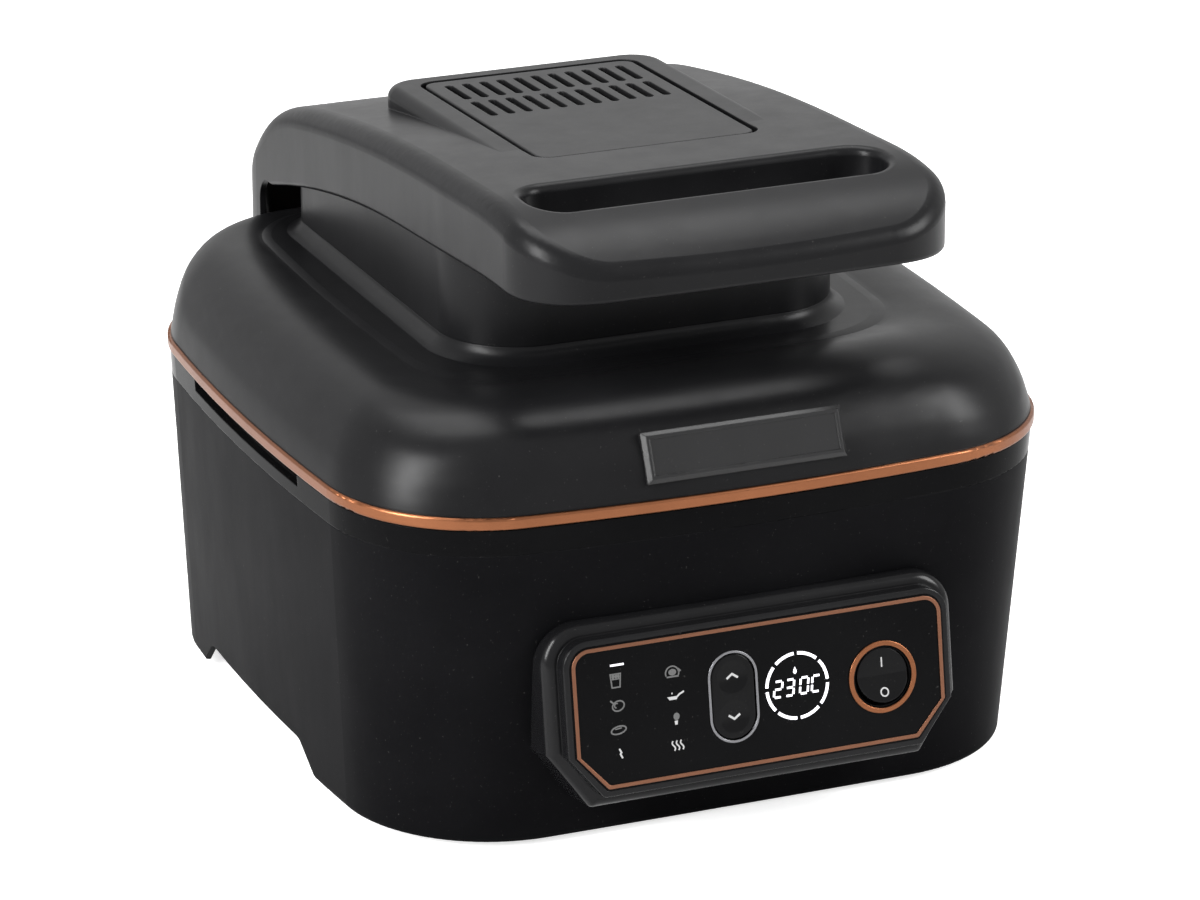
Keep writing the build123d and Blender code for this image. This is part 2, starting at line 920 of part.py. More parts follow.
def dome_outline(section, inset, drop):
    """One section of the dome, drawn in by an inset and lowered in step with its rise."""
    side, front, rear, rise, corner = section
    share = rise / dome_rise
    face = pad(
        ring_width - 2 * (inset + ring_set + side),
        ring_depth - 2 * (inset + ring_set) - front - rear,
        corner - inset,
        between(ring_bow_side, dome_bow, share),
        between(ring_bow_front, dome_bow, share),
        (front - rear) / 2,
    )
    return Pos(0, 0, ring_top_z + rise - drop * share) * face


def dome(inset=0.0, drop=0.0):
    return loft([dome_outline(section, inset, drop) for section in dome_sections])


def tower_outline(inset=0.0):
    front = tower_half_front - inset
    rear = tower_half_rear - inset
    face = polygon(
        [
            (-front, -tower_front + inset),
            (front, -tower_front + inset),
            (rear, tower_rear - inset),
            (-rear, tower_rear - inset),
        ]
    )
    rows = face.vertices().group_by(Axis.Y)
    face = fillet(rows[0], tower_round_front - inset)
    return fillet(face.vertices().group_by(Axis.Y)[-1], tower_round_rear - inset)


def below_parting():
    """Everything below the parting line between the dome's neck and the tower."""
    return side_prism(
        polygon(
            [
                (-ring_depth, collar_front_z + collar_slope * (ring_depth - tower_front)),
                (-ring_depth, 0),
                (ring_depth, 0),
                (ring_depth, collar_front_z - collar_slope * (ring_depth + tower_front)),
            ]
        ),
        ring_width,
    )


def neck():
    """Concave foot of the tower, most of a quarter of an ellipse that leaves the deck."""
    sections = []
    for step in range(5):
        angle = math.radians(between(neck_start, 90, step / 4))
        spread = neck_spread * (1 - math.sin(angle))
        z = deck_z - 0.5 + neck_rise * (math.cos(math.radians(neck_start)) - math.cos(angle))
        sections.append(Pos(0, 0, z) * tower_outline(-spread))
    return loft(sections)


boss_corners = [(sx * lid_boss_x, sy * lid_boss_y) for sx in (-1, 1) for sy in (-1, 1)]


def lid_shell():
    """Dome, open in the middle under the tower, with the tower's concave foot."""
    well = slab(tower_outline(tower_wall + deck_lip), ring_top_z + 1, collar_front_z + 5)
    foot = (neck() & below_parting()) - well
    outer = dome()
    shell = outer - dome(lid_wall, lid_wall) - well + foot
    for x, y in boss_corners:
        shell += tube(lid_boss_radius, shield_z + sheet, deck_z, x, y) & outer
        shell -= tube(screw_radius, 0, shield_z + sheet + 12, x, y)
    for x, y in post_spots:
        shell -= tube(screw_radius, deck_z - 10, collar_front_z + 1, x, y)
    return shell


def badge_plate():
    """Bevelled plate that stands out of the dome's front and carries no mark."""
    slope = math.atan2(badge_foot_reach - badge_top_reach, badge_top_z - badge_foot_z)
    height = (badge_top_z - badge_foot_z) / math.cos(slope)
    face = Plane(
        origin=(0, -(badge_foot_reach + badge_top_reach) / 2, (badge_top_z + badge_foot_z) / 2),
        x_dir=(1, 0, 0),
        z_dir=(0, -math.cos(slope), math.sin(slope)),
    )
    plate = extrude(face.offset(-badge_depth) * Rectangle(badge_width, height), badge_depth)
    front = plate.faces().sort_by(Axis.Y)[0].edges()
    plate = chamfer(front, badge_bevel)
    border = 2 * badge_border
    field = extrude(
        face.offset(-badge_recess) * Rectangle(badge_width - border, height - border), 1
    )
    return plate - field - dome()


def lid_trim_ring():
    ring = slab(ring_outline(-ring_proud), ring_low_z, ring_top_z)
    ring = fillet(ring.edges().group_by(Axis.Z)[0] + ring.edges().group_by(Axis.Z)[-1], 1.2)
    return ring - slab(ring_outline(ring_band), ring_low_z - 1, ring_top_z + 1)


def heat_shield():
    """Lid lining: a flat rim that carries the round heating chamber."""
    lining = slab(ring_outline(ring_set + lid_wall + 1.2), shield_z, shield_z + sheet)
    chamber = tube(chamber_radius, shield_z, shield_z + chamber_height)
    chamber = fillet(chamber.edges().group_by(Axis.Z)[-1], chamber_round)
    hollow = tube(chamber_radius - sheet, shield_z - 1, shield_z + chamber_height - sheet)
    hollow = fillet(hollow.edges().group_by(Axis.Z)[-1], chamber_round - sheet)
    lining = lining + chamber - hollow
    for x, y in boss_corners:
        lining -= tube(screw_radius + 0.2, 0, deck_z, x, y)
    return lining - tube(shaft_radius + 2, 0, deck_z)


def lid_gasket():
    inset = pot_inset - pot_flange + gasket_set
    strip = slab(
        ring_outline(inset) - ring_outline(inset + gasket_width),
        pot_rim_z + pot_flange_thick + seat_gap,
        shield_z,
    )
    return strip


def lid_insulation():
    return tube(chamber_radius - 16, insulation_z, deck_z - lid_wall - 1) - tube(
        shaft_radius + 2, 0, deck_z
    )


def heating_element():
    """Two rings of tube joined by a bridge, with two terminals through the chamber."""
    inner, outer = heater_radii
    rings = Torus(inner, heater_bar / 2) + Torus(outer, heater_bar / 2)
    bridge = along_x(heater_bar / 2, inner, outer, 0, 0)
    element = Pos(0, 0, heater_z) * (rings + bridge)
    roof = shield_z + chamber_height - sheet
    for y in (-9, 9):
        element += tube(heater_bar / 2, heater_z, roof, -inner, y)
    return element


def element_clips():
    """Brackets that hang the heater's outer ring from the chamber's roof."""
    roof = shield_z + chamber_height - sheet
    inner, outer = heater_radii
    low = heater_z - heater_bar / 2 - 1.5
    clips = []
    for angle in (30, 150, 270):
        clip = block(inner - 3, outer + 5, -4, 4, low, roof)
        clip -= block(inner - 4, outer + 3.4, -5, 5, heater_z + heater_bar / 2, roof - 1.5)
        clip -= block(inner - 4, outer + 3.4, -5, 5, low + 1.5, heater_z + heater_bar / 2 + 1)
        clips.append(Rot(0, 0, angle) * clip)
    return Compound(clips)


def splatter_guard():
    guard = tube(chamber_radius - sheet - seat_gap, shield_z + 1, shield_z + 1 + guard_thick)
    for radius, count in guard_rings:
        for turn in range(count):
            hole = Rot(0, 0, 360 * turn / count) * Pos(radius, 0) * Rectangle(guard_slot, 4)
            guard -= slab(hole, shield_z, shield_z + 3)
    return guard


def tower_skirt():
    """Wall between the dome's neck and the cover, with four posts for screws."""
    walls = slab(tower_outline() - tower_outline(tower_wall), ring_top_z, cover_crown[3][1])
    for x, y in post_spots:
        walls += tube(post_radius, ring_top_z, post_top_z, x, y)
        walls -= tube(screw_radius, ring_top_z, post_top_z - 2, x, y)
    walls -= below_parting()
    return walls & side_prism(below_cover_edge(tower_lap), ring_width)


def below_cover_edge(lift):
    """Face of the YZ plane below the cover's lower edge curve, raised by a lift."""
    points = [(y, z + lift) for y, z in cover_low]
    rear = points[-1]
    front = points[0]
    curve = Spline(*points)
    rest = Polyline(rear, (ring_depth, rear[1]), (ring_depth, 0), (front[0], 0), front)
    return make_face([curve, *rest.edges()])


def cover_plan(inset=0.0):
    """Outline of the top cover and its handle, seen from above."""
    front = cover_half_front - inset
    rear = cover_half_rear - inset
    y_front = -cover_front + inset
    y_rear = cover_rear - inset
    front_end = y_front + cover_bow_front
    rear_end = y_rear - cover_bow_rear
    edges = [
        ThreePointArc((-front, front_end), (0, y_front), (front, front_end)),
        Line((front, front_end), (rear, rear_end)),
        ThreePointArc((rear, rear_end), (0, y_rear), (-rear, rear_end)),
        Line((-rear, rear_end), (-front, front_end)),
    ]
    face = make_face(edges)
    face = fillet(face.vertices().group_by(Axis.Y)[0], cover_round_front - inset)
    return fillet(face.vertices().group_by(Axis.Y)[-1], cover_round_rear - inset)


def cover_side():
    """Side view of the cover: crown, rear leg, arch and lower edge."""
    front, last = cover_low[0], cover_low[-1]
    crown_end = cover_crown[-1]
    leg = (rear_leg_front, last[1] - arch_turn)
    half_turn = (
        rear_leg_front - arch_turn * (1 - math.sqrt(0.5)) * 0.6,
        last[1] - arch_turn * (1 - math.sqrt(0.5)) * 1.2,
    )
    return make_face(
        [
            Spline(*cover_crown),
            Line(crown_end, (rear_leg_front, crown_end[1])),
            Line((rear_leg_front, crown_end[1]), leg),
            ThreePointArc(leg, half_turn, last),
            Spline(*reversed(cover_low)),
            Line(front, cover_crown[0]),
        ]
    )


crown_curve = Spline(*cover_crown)


def below_crown(inset):
    """Face of the YZ plane that lies a wall's thickness inside the cover's crown."""
    points = []
    for step in range(25):
        place = crown_curve @ (step / 24)
        along = crown_curve % (step / 24)
        points.append((place.X + inset * along.Y, place.Y - inset * along.X))
    start, end = points[0], points[-1]
    rest = Polyline(end, (end[0], 0), (start[0], 0), start)
    return make_face([Spline(*points), *rest.edges()])


def is_crown_edge(edge):
    """True for the edges where the cover's top meets its side walls."""
    middle = edge @ 0.5
    on_crown = crown_curve.distance_to(Vertex(middle.Y, middle.Z, 0)) < 0.2
    return on_crown and middle.Z > rear_leg_foot_z + 1


low_curve = Spline(*cover_low)


def is_low_edge(edge):
    """True for the edges where the cover's side walls and nose end below."""
    middle = edge @ 0.5
    on_low = low_curve.distance_to(Vertex(middle.Y, middle.Z, 0)) < 0.2
    return on_low and middle.Y < cover_low[-1][0] - 1


def cover_block():
    """The cover's outer form before it is hollowed."""
    tall = slab(cover_plan(), rear_leg_foot_z, cover_crown[3][1] + 10)
    body = tall & side_prism(cover_side(), ring_width)
    body = fillet([edge for edge in body.edges() if is_crown_edge(edge)], cover_edge)
    return fillet([edge for edge in body.edges() if is_low_edge(edge)], cover_roll)


def cover_hollow():
    """The space inside the cover's walls, open below."""
    tall = slab(cover_plan(cover_wall), 0, cover_crown[3][1] + 10)
    body = tall & side_prism(below_crown(cover_wall), ring_width)
    crown = [edge for edge in body.edges() if edge.length > 5 and is_inner_edge(edge)]
    return fillet(crown, cover_edge - cover_wall)


def is_inner_edge(edge):
    middle = edge @ 0.5
    gap = crown_curve.distance_to(Vertex(middle.Y, middle.Z, 0))
    return abs(gap - cover_wall) < 0.2


def slot_outline(grow=0.0):
    """Outline of the finger slot behind the handle bar, seen from above."""
    depth = slot_front - slot_rear + 2 * grow
    face = RectangleRounded(2 * (slot_half_width + grow), depth, slot_round + grow)
    return Pos(0, -(slot_front + slot_rear) / 2) * face


def is_slot_lip(edge):
    """True for the edges where the finger slot opens through the cover's top."""
    middle = edge @ 0.5
    inside = abs(middle.X) < slot_half_width + 1 and -slot_front - 1 < middle.Y < 1 - slot_rear
    on_crown = crown_curve.distance_to(Vertex(middle.Y, middle.Z, 0)) < 0.2
    return inside and on_crown


vent_rise = math.atan2(vent_front_z - vent_rear_z, vent_rear_y - vent_front_y)
vent_length = (vent_rear_y - vent_front_y) / math.cos(vent_rise)
vent_plane = Plane(
    origin=(0, (vent_front_y + vent_rear_y) / 2, (vent_front_z + vent_rear_z) / 2),
    x_dir=(1, 0, 0),
    z_dir=(0, math.sin(vent_rise), math.cos(vent_rise)),
)


def on_vent(face, low, high):
    """A face of the vent plate's plane as a plate between two depths."""
    return extrude(vent_plane.offset(low) * face, high - low)


def vent_outline(grow=0.0):
    width = 2 * (vent_half_width + grow)
    return RectangleRounded(width, vent_length + 2 * grow, vent_corner + max(grow, 0))


def platform():
    """Raised field around the vent plate, which sinks into the crown at its front."""
    length = platform_rear_y - platform_front_y
    middle = (platform_rear_y + platform_front_y) / 2 - vent_plane.origin.Y
    face = RectangleRounded(2 * platform_half_width, length, platform_corner)
    field = on_vent(Pos(0, middle) * face, -platform_depth, 0)
    return fillet(field.faces().sort_by(Axis.Z)[-1].edges(), platform_edge)


def top_cover():
    above = cover_crown[3][1] + 10
    outer = cover_block() - slab(slot_outline(), 0, above)
    outer = fillet([edge for edge in outer.edges() if is_slot_lip(edge)], slot_lip)
    slot_walls = slab(slot_outline(slot_wall), 0, above)
    slot_walls -= side_prism(below_cover_edge(underside_lift + underside_thick), ring_width)
    hollow = cover_hollow() - slot_walls
    cover = outer + platform() - hollow - dome(-seat_gap, -seat_gap)
    cover -= on_vent(vent_outline(vent_gap), -vent_thick - vent_seat, 20)
    well = Rectangle(2 * vent_well_half, vent_length - 2 * vent_well_margin)
    return cover - on_vent(well, -30, 1)


def slot_positions():
    first = vent_length / 2 - vent_first_row - vent_slot_length / 2
    rows = (first, first - vent_slot_length - vent_row_gap)
    middle = (vent_slot_count - 1) / 2
    return [((i - middle) * vent_slot_pitch, row) for row in rows for i in range(vent_slot_count)]


def vent_plate():
    plate = on_vent(vent_outline(), -vent_thick, 0)
    plate = fillet(plate.faces().sort_by(Axis.Z)[-1].edges(), 0.7)
    slot = SlotOverall(vent_slot_length, vent_slot_width, rotation=90)
    for x, row in slot_positions():
        plate -= on_vent(Pos(x, row) * slot, -vent_thick - 1, 1)
    for side in (-1, 1):
        rib = Pos(side * (vent_half_width - 3), 0) * Rectangle(3, vent_length - 24)
        plate += on_vent(rib, -vent_thick - vent_seat, -vent_thick)
    return plate


def handle_underside():
    """Plate that closes the handle bar from below, around the finger slot."""
    above = cover_crown[3][1]
    plate = slab(cover_plan(cover_wall + seat_gap), rear_leg_foot_z, above)
    plate &= side_prism(below_cover_edge(underside_lift + underside_thick), ring_width)
    plate -= side_prism(below_cover_edge(underside_lift), ring_width)
    plate -= slab(tower_outline(-seat_gap), 0, above)
    plate -= block(-200, 200, tower_round_front - tower_front, 300, 0, above)
    return plate - slab(slot_outline(), 0, above)


# Fan and motor


bracket_z = collar_front_z - collar_slope * (tower_front - motor_plate_width / 2)
motor_z = bracket_z + motor_plate_thick


def motor_bracket():
    """Bridge plate across the opening in the dome's deck."""
    width = 2 * (tower_half_front - tower_wall - 1)
    plate = slab(Rectangle(width, motor_plate_width), bracket_z, motor_z)
    for side in (-1, 1):
        for y in (-20, 0, 20):
            slot = Pos(side * 52, y) * SlotOverall(36, 8)
            plate -= slab(slot, 0, motor_z + 1)
    return plate - tube(shaft_radius + 3, 0, motor_z + 1)


def fan_motor():
    motor = tube(motor_radius, motor_z, motor_z + motor_height - 4)
    motor = fillet(motor.edges().group_by(Axis.Z)[-1], 4)
    motor += tube(9, motor_z, motor_z + motor_height - 1)
    return motor - tube(shaft_radius + running_gap, 0, motor_z + motor_height)


def motor_shaft():
    return chamfer(tube(shaft_radius, shaft_foot_z, shaft_top_z).edges(), 0.4)


def fan_wheel(radius, z, height, count, tilt):
    """Hub, back disc and a ring of slanted blades, bored for the shaft."""
    wheel = tube(fan_hub_radius, z, z + height)
    wheel += tube(radius * 0.92, z + height - fan_sheet, z + height)
    length = radius - fan_hub_radius + 3
    for turn in range(count):
        blade = Pos(fan_hub_radius - 2, 0) * Rot(0, 0, tilt) * Pos(length / 2, 0)
        strip = slab(blade * Rectangle(length, 1.2), z, z + height - fan_sheet / 2)
        wheel += Rot(0, 0, 360 * turn / count) * strip
    wheel &= tube(radius, z, z + height)
    return wheel - tube(shaft_radius, z - 1, z + height + 1)


def convection_fan():
    return fan_wheel(fan_radius, fan_z, fan_height, fan_blades, fan_blade_tilt)


def cooling_fan():
    return fan_wheel(
        cooling_radius, cooling_z, cooling_height, cooling_blades, -fan_blade_tilt
    )


def fan_nut():
    nut = slab(RegularPolygon(nut_radius, 6), fan_z - nut_height, fan_z)
    return nut - tube(shaft_radius, 0, fan_z + 1)


def skirt_screws():
    seat = deck_z - lid_wall
    return Compound([screw(x, y, seat, 16) for x, y in post_spots])


def shield_screws():
    return Compound([screw(x, y, shield_z, 9) for x, y in boss_corners])


# Lid hinge


def hinge_bracket():
    """Rear bracket with two knuckles that stand clear of the base's wall."""
    rear = ring_depth / 2 + bracket_proud
    bracket = block(
        -base_knuckle_outer - 4,
        base_knuckle_outer + 4,
        ring_depth / 2 - 20,
        rear,
        bracket_low_z,
        bracket_top_z,
    )
    bracket = fillet(bracket.edges().filter_by(Axis.Y), 6)
    web = polygon(
        [
            (ring_depth / 2 - 20, bracket_low_z),
            (rear, bracket_low_z),
            (hinge_y + knuckle_radius, hinge_z - 2),
            (hinge_y, hinge_z),
            (ring_depth / 2 - 20, hinge_z),
        ]
    )
    thick = (base_knuckle_outer - base_knuckle_inner) / 2
    for side in (-1, 1):
        low, high = sorted((side * base_knuckle_inner, side * base_knuckle_outer))
        bracket += along_x(knuckle_radius, low, high, hinge_y, hinge_z)
        bracket += Pos((low + high) / 2, 0, 0) * side_prism(web, thick)
    bracket -= body_block(foot_proud, rim_top_z)
    bracket -= slab(ring_outline(0), rim_top_z - 1, ring_top_z + 5)
    for x in hinge_screw_x:
        bracket -= along_y(screw_radius, x, 0, ring_depth, hinge_screw_z)
    return bracket - along_x(pin_radius, -200, 200, hinge_y, hinge_z)


def hinge_screws():
    rear = ring_depth / 2 + bracket_proud
    screws = []
    for x in hinge_screw_x:
        head = along_y(screw_head_radius, x, rear, rear + screw_head, hinge_screw_z)
        screws.append(head + along_y(screw_radius - 0.1, x, rear - 14, rear, hinge_screw_z))
    return Compound(screws)


def hinge_pin():
    pin = along_x(pin_radius, -base_knuckle_outer - 1, base_knuckle_outer + 1, hinge_y, hinge_z)
    for side in (-1, 1):
        low, high = sorted((side * base_knuckle_outer, side * (base_knuckle_outer + pin_head)))
        pin += along_x(pin_head_radius, low, high, hinge_y, hinge_z)
    return pin


def lid_hinge_arms():
    """Two arms on the dome's rear wall that turn on the hinge pin."""
    profile = polygon(
        [
            (ring_depth / 2 - 20, arm_top_z),
            (arm_rear_y, arm_top_z),
            (arm_rear_y + 2, hinge_z + 14),
            (hinge_y + 4, hinge_z + 5),
            (hinge_y, hinge_z),
            (ring_depth / 2 - 20, hinge_z),
        ]
    )
    outer = base_knuckle_inner - knuckle_gap
    thick = (outer - lid_knuckle_inner) / 2
    ring = slab(ring_outline(-ring_proud - arm_gap), 0, ring_top_z + arm_gap)
    arms = []
    for side in (-1, 1):
        low, high = sorted((side * lid_knuckle_inner, side * outer))
        arm = along_x(knuckle_radius, low, high, hinge_y, hinge_z)
        arm += Pos((low + high) / 2, 0, 0) * side_prism(profile, thick) - ring - dome()
        arms.append(arm - along_x(pin_radius + running_gap, -200, 200, hinge_y, hinge_z))
    return Compound(arms)


makers = (
    base_shell,
    rim_band,
    cavity_liner,
    hot_plate,
    plate_element,
    sensor_bracket,
    sensor_spring,
    sensor_cap,
    cooking_pot,
    pot_grips,
    crisping_rack,
    rack_feet,
    bottom_plate,
    rubber_feet,
    bottom_screws,
    cord_gland,
    hinge_bracket,
    hinge_screws,
    hinge_pin,
    control_bezel,
    control_glass,
    panel_trim,
    key_outline,
    key_bracket,
    adjust_key,
    display_module,
    icon_lamps,
    control_board,
    power_board,
    switch_ring,
    switch_body,
    power_rocker,
    lid_shell,
    lid_trim_ring,
    lid_gasket,
    badge_plate,
    heat_shield,
    shield_screws,
    lid_insulation,
    heating_element,
    element_clips,
    splatter_guard,
    tower_skirt,
    top_cover,
    skirt_screws,
    vent_plate,
    handle_underside,
    lid_hinge_arms,
    motor_bracket,
    fan_motor,
    motor_shaft,
    convection_fan,
    cooling_fan,
    fan_nut,
)
pieces = {maker.__name__: maker() for maker in makers}

# The origin is the centre of the footprint, at the ground

boxes = [piece.bounding_box() for piece in pieces.values()]
middle_x = (min(box.min.X for box in boxes) + max(box.max.X for box in boxes)) / 2
middle_y = (min(box.min.Y for box in boxes) + max(box.max.Y for box in boxes)) / 2
to_origin = Pos(-middle_x, -middle_y, -min(box.min.Z for box in boxes))

os.makedirs("parts", exist_ok=True)
for name, piece in pieces.items():
    export_step(to_origin * Compound(piece.solids()), f"parts/{name}.step")
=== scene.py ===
import math

import bmesh
import bpy
from mathutils import Matrix, Vector
from mathutils.bvhtree import BVHTree


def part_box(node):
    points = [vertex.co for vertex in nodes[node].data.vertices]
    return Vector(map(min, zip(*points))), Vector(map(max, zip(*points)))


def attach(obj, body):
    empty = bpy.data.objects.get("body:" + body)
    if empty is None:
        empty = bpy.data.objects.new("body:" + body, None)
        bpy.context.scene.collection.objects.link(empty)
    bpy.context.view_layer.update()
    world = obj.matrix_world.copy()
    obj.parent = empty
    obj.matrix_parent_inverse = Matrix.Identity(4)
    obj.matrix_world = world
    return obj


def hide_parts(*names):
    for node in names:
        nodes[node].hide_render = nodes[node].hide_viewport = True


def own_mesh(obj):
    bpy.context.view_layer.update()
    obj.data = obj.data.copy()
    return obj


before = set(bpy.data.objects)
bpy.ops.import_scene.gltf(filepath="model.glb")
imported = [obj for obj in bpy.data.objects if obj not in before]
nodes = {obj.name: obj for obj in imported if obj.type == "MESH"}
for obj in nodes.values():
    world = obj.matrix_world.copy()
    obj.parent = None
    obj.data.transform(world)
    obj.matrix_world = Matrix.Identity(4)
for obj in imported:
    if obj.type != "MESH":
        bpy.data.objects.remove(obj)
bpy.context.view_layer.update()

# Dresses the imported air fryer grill: materials, the console's marks and lamps, the
# floor, the light and the camera. Metres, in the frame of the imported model.

MM = 0.001
shift_y = sum(corner.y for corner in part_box("hot_plate")) / 2

# Camera, at the photograph's viewing angle

camera_place = Vector((-0.892715, -2.1176 + shift_y, 0.954389))
camera_yaw = 0.40044
camera_pitch = 0.35096
camera_lens = 164.99


def aimed(place, way):
    """Places a camera or a lamp so that it looks along a direction."""
    return Matrix.Translation(place) @ way.to_track_quat("-Z", "Y").to_matrix().to_4x4()


camera_data = bpy.data.cameras.new("camera")
camera_data.lens = camera_lens
camera_data.sensor_width = 36.0
camera_data.clip_end = 50.0
camera = bpy.data.objects.new("camera", camera_data)
bpy.context.scene.collection.objects.link(camera)
forward = Vector(
    (
        math.sin(camera_yaw) * math.cos(camera_pitch),
        math.cos(camera_yaw) * math.cos(camera_pitch),
        -math.sin(camera_pitch),
    )
)
camera.matrix_world = aimed(camera_place, forward)
bpy.context.scene.camera = camera
bpy.context.scene.view_settings.view_transform = "Standard"


# Shader building


def add_node(tree, kind, inputs=None, **settings):
    """A new node; an input may be a plain value or another node's output socket."""
    made = tree.nodes.new(kind)
    for key, value in settings.items():
        setattr(made, key, value)
    for key, value in (inputs or {}).items():
        socket = made.inputs[key]
        if isinstance(value, bpy.types.NodeSocket):
            tree.links.new(value, socket)
        else:
            socket.default_value = value
    return made


def new_material(name):
    material = bpy.data.materials.new(name)
    material.use_nodes = True
    tree = material.node_tree
    shader = tree.nodes["Principled BSDF"]
    place = add_node(tree, "ShaderNodeTexCoord").outputs["Object"]
    return material, tree, shader, place


def noise(tree, place, scale, detail=3.0, roughness=0.5, stretch=None):
    if stretch:
        place = add_node(
            tree, "ShaderNodeMapping", {"Vector": place, "Scale": stretch}
        ).outputs[0]
    return add_node(
        tree,
        "ShaderNodeTexNoise",
        {"Vector": place, "Scale": scale, "Detail": detail, "Roughness": roughness},
    ).outputs["Fac"]


def ranged(tree, value, low, high, start=0.0, end=1.0):
    return add_node(
        tree,
        "ShaderNodeMapRange",
        {"Value": value, "From Min": low, "From Max": high, "To Min": start, "To Max": end},
    ).outputs[0]


def mixed(tree, share, first, second):
    return add_node(
        tree, "ShaderNodeMix", {0: share, 6: first, 7: second}, data_type="RGBA"
    ).outputs[2]


def product(tree, first, second, operation="MULTIPLY"):
    return add_node(
        tree, "ShaderNodeMath", {0: first, 1: second}, operation=operation
    ).outputs[0]


def edge_mask(tree, radius):
    """Near 1 along sharp edges, by how far a bevel of that radius turns the normal."""
    bevel = add_node(tree, "ShaderNodeBevel", {"Radius": radius}, samples=4)
    plain = add_node(tree, "ShaderNodeNewGeometry").outputs["Normal"]
    alike = add_node(
        tree, "ShaderNodeVectorMath", {0: bevel.outputs[0], 1: plain}, operation="DOT_PRODUCT"
    ).outputs["Value"]
    return ranged(tree, alike, 0.995, 0.90), bevel.outputs[0]


def bumped(tree, height, strength, distance, normal=None):
    inputs = {"Height": height, "Strength": strength, "Distance": distance}
    if normal is not None:
        inputs["Normal"] = normal
    return add_node(tree, "ShaderNodeBump", inputs).outputs[0]


def rgb(red, green, blue):
    return (red, green, blue, 1.0)


def grey(value):
    return rgb(value, value, value)


def shade(color, gain, lift=0.0):
    """The colour, made lighter or darker."""
    return rgb(*(min(1.0, c * gain + lift) for c in color[:3]))


dust_color = rgb(0.16, 0.155, 0.15)


def plastic(
    name, color, rough, level=0.5, grain=1800.0, grain_depth=0.03, smudge=0.03, worn=0.2
):
    """Moulded plastic: fine grain, uneven sheen from handling, dust and rubbed edges."""
    material, tree, shader, place = new_material(name)
    cloud = noise(tree, place, 14.0, 4.0, 0.6)
    wipe = noise(tree, place, 60.0, 5.0, 0.65, (1.0, 1.0, 0.35))
    speck = noise(tree, place, 900.0, 2.0, 0.5)
    edges, soft_normal = edge_mask(tree, 0.0008)
    cloudy = ranged(tree, cloud, 0.3, 0.7)
    tone = mixed(tree, cloudy, shade(color, 0.9), shade(color, 1.15, 0.001))
    dust = product(tree, ranged(tree, speck, 0.70, 0.80), 0.22)
    tone = mixed(tree, dust, tone, dust_color)
    wiped_edges = product(tree, edges, ranged(tree, wipe, 0.42, 0.62))
    tone = mixed(tree, product(tree, wiped_edges, worn), tone, shade(color, 2.2, 0.03))
    tree.links.new(tone, shader.inputs["Base Color"])
    sheen = ranged(tree, wipe, 0.3, 0.7, rough - smudge, rough + smudge)
    tree.links.new(sheen, shader.inputs["Roughness"])
    shader.inputs["Specular IOR Level"].default_value = level
    pits = noise(tree, place, grain, 2.0, 0.6)
    normal = bumped(tree, pits, grain_depth, 0.0004, soft_normal)
    tree.links.new(normal, shader.inputs["Normal"])
    return material


def metal(
    name, color, rough, stretch=(1.0, 1.0, 1.0), lines=420.0, depth=0.08, tarnish=0.3
):
    """Bare or plated metal with drawn lines, cloudy tarnish and brighter edges."""
    material, tree, shader, place = new_material(name)
    cloud = noise(tree, place, 26.0, 5.0, 0.6)
    grain = noise(tree, place, lines, 3.0, 0.6, stretch)
    edges, soft_normal = edge_mask(tree, 0.0005)
    tarnished = product(tree, ranged(tree, cloud, 0.4, 0.75), tarnish)
    tone = mixed(tree, tarnished, color, shade(color, 0.55))
    tone = mixed(tree, product(tree, edges, 0.5), tone, shade(color, 1.18))
    tree.links.new(tone, shader.inputs["Base Color"])
    shader.inputs["Metallic"].default_value = 1.0
    sheen = ranged(tree, grain, 0.25, 0.75, rough - 0.06, rough + 0.1)
    tree.links.new(sheen, shader.inputs["Roughness"])
    tree.links.new(bumped(tree, grain, depth, 0.0003, soft_normal), shader.inputs["Normal"])
    return material


def nonstick(name):
    """Sprayed non-stick coating with pale mineral flecks and a slight orange peel."""
    material, tree, shader, place = new_material(name)
    fleck = add_node(
        tree, "ShaderNodeTexVoronoi", {"Vector": place, "Scale": 420.0}
    ).outputs["Distance"]
    sparse = noise(tree, place, 160.0, 2.0, 0.5)
    stone = product(
        tree, ranged(tree, fleck, 0.20, 0.12), ranged(tree, sparse, 0.52, 0.58)
    )
    cloud = noise(tree, place, 18.0, 4.0, 0.6)
    cloudy = ranged(tree, cloud, 0.3, 0.7)
    tone = mixed(tree, cloudy, rgb(0.022, 0.022, 0.024), rgb(0.04, 0.04, 0.042))
    tone = mixed(tree, product(tree, stone, 0.55), tone, rgb(0.22, 0.21, 0.2))
    tree.links.new(tone, shader.inputs["Base Color"])
    sheen = ranged(tree, cloud, 0.3, 0.7, 0.34, 0.46)
    tree.links.new(sheen, shader.inputs["Roughness"])
    peel = noise(tree, place, 700.0, 3.0, 0.5)
    tree.links.new(bumped(tree, peel, 0.12, 0.0005), shader.inputs["Normal"])
    return material


def rubber(name, color):
    """Matt rubber with a pale, cloudy bloom."""
    material, tree, shader, place = new_material(name)
    cloud = noise(tree, place, 90.0, 5.0, 0.7)
    bloom = ranged(tree, cloud, 0.45, 0.75)
    tone = mixed(tree, product(tree, bloom, 0.4), color, shade(color, 1.6, 0.03))
    tree.links.new(tone, shader.inputs["Base Color"])
    tree.links.new(ranged(tree, cloud, 0.3, 0.7, 0.62, 0.8), shader.inputs["Roughness"])
    pits = noise(tree, place, 1500.0, 3.0, 0.6)
    tree.links.new(bumped(tree, pits, 0.15, 0.0004), shader.inputs["Normal"])
    return material


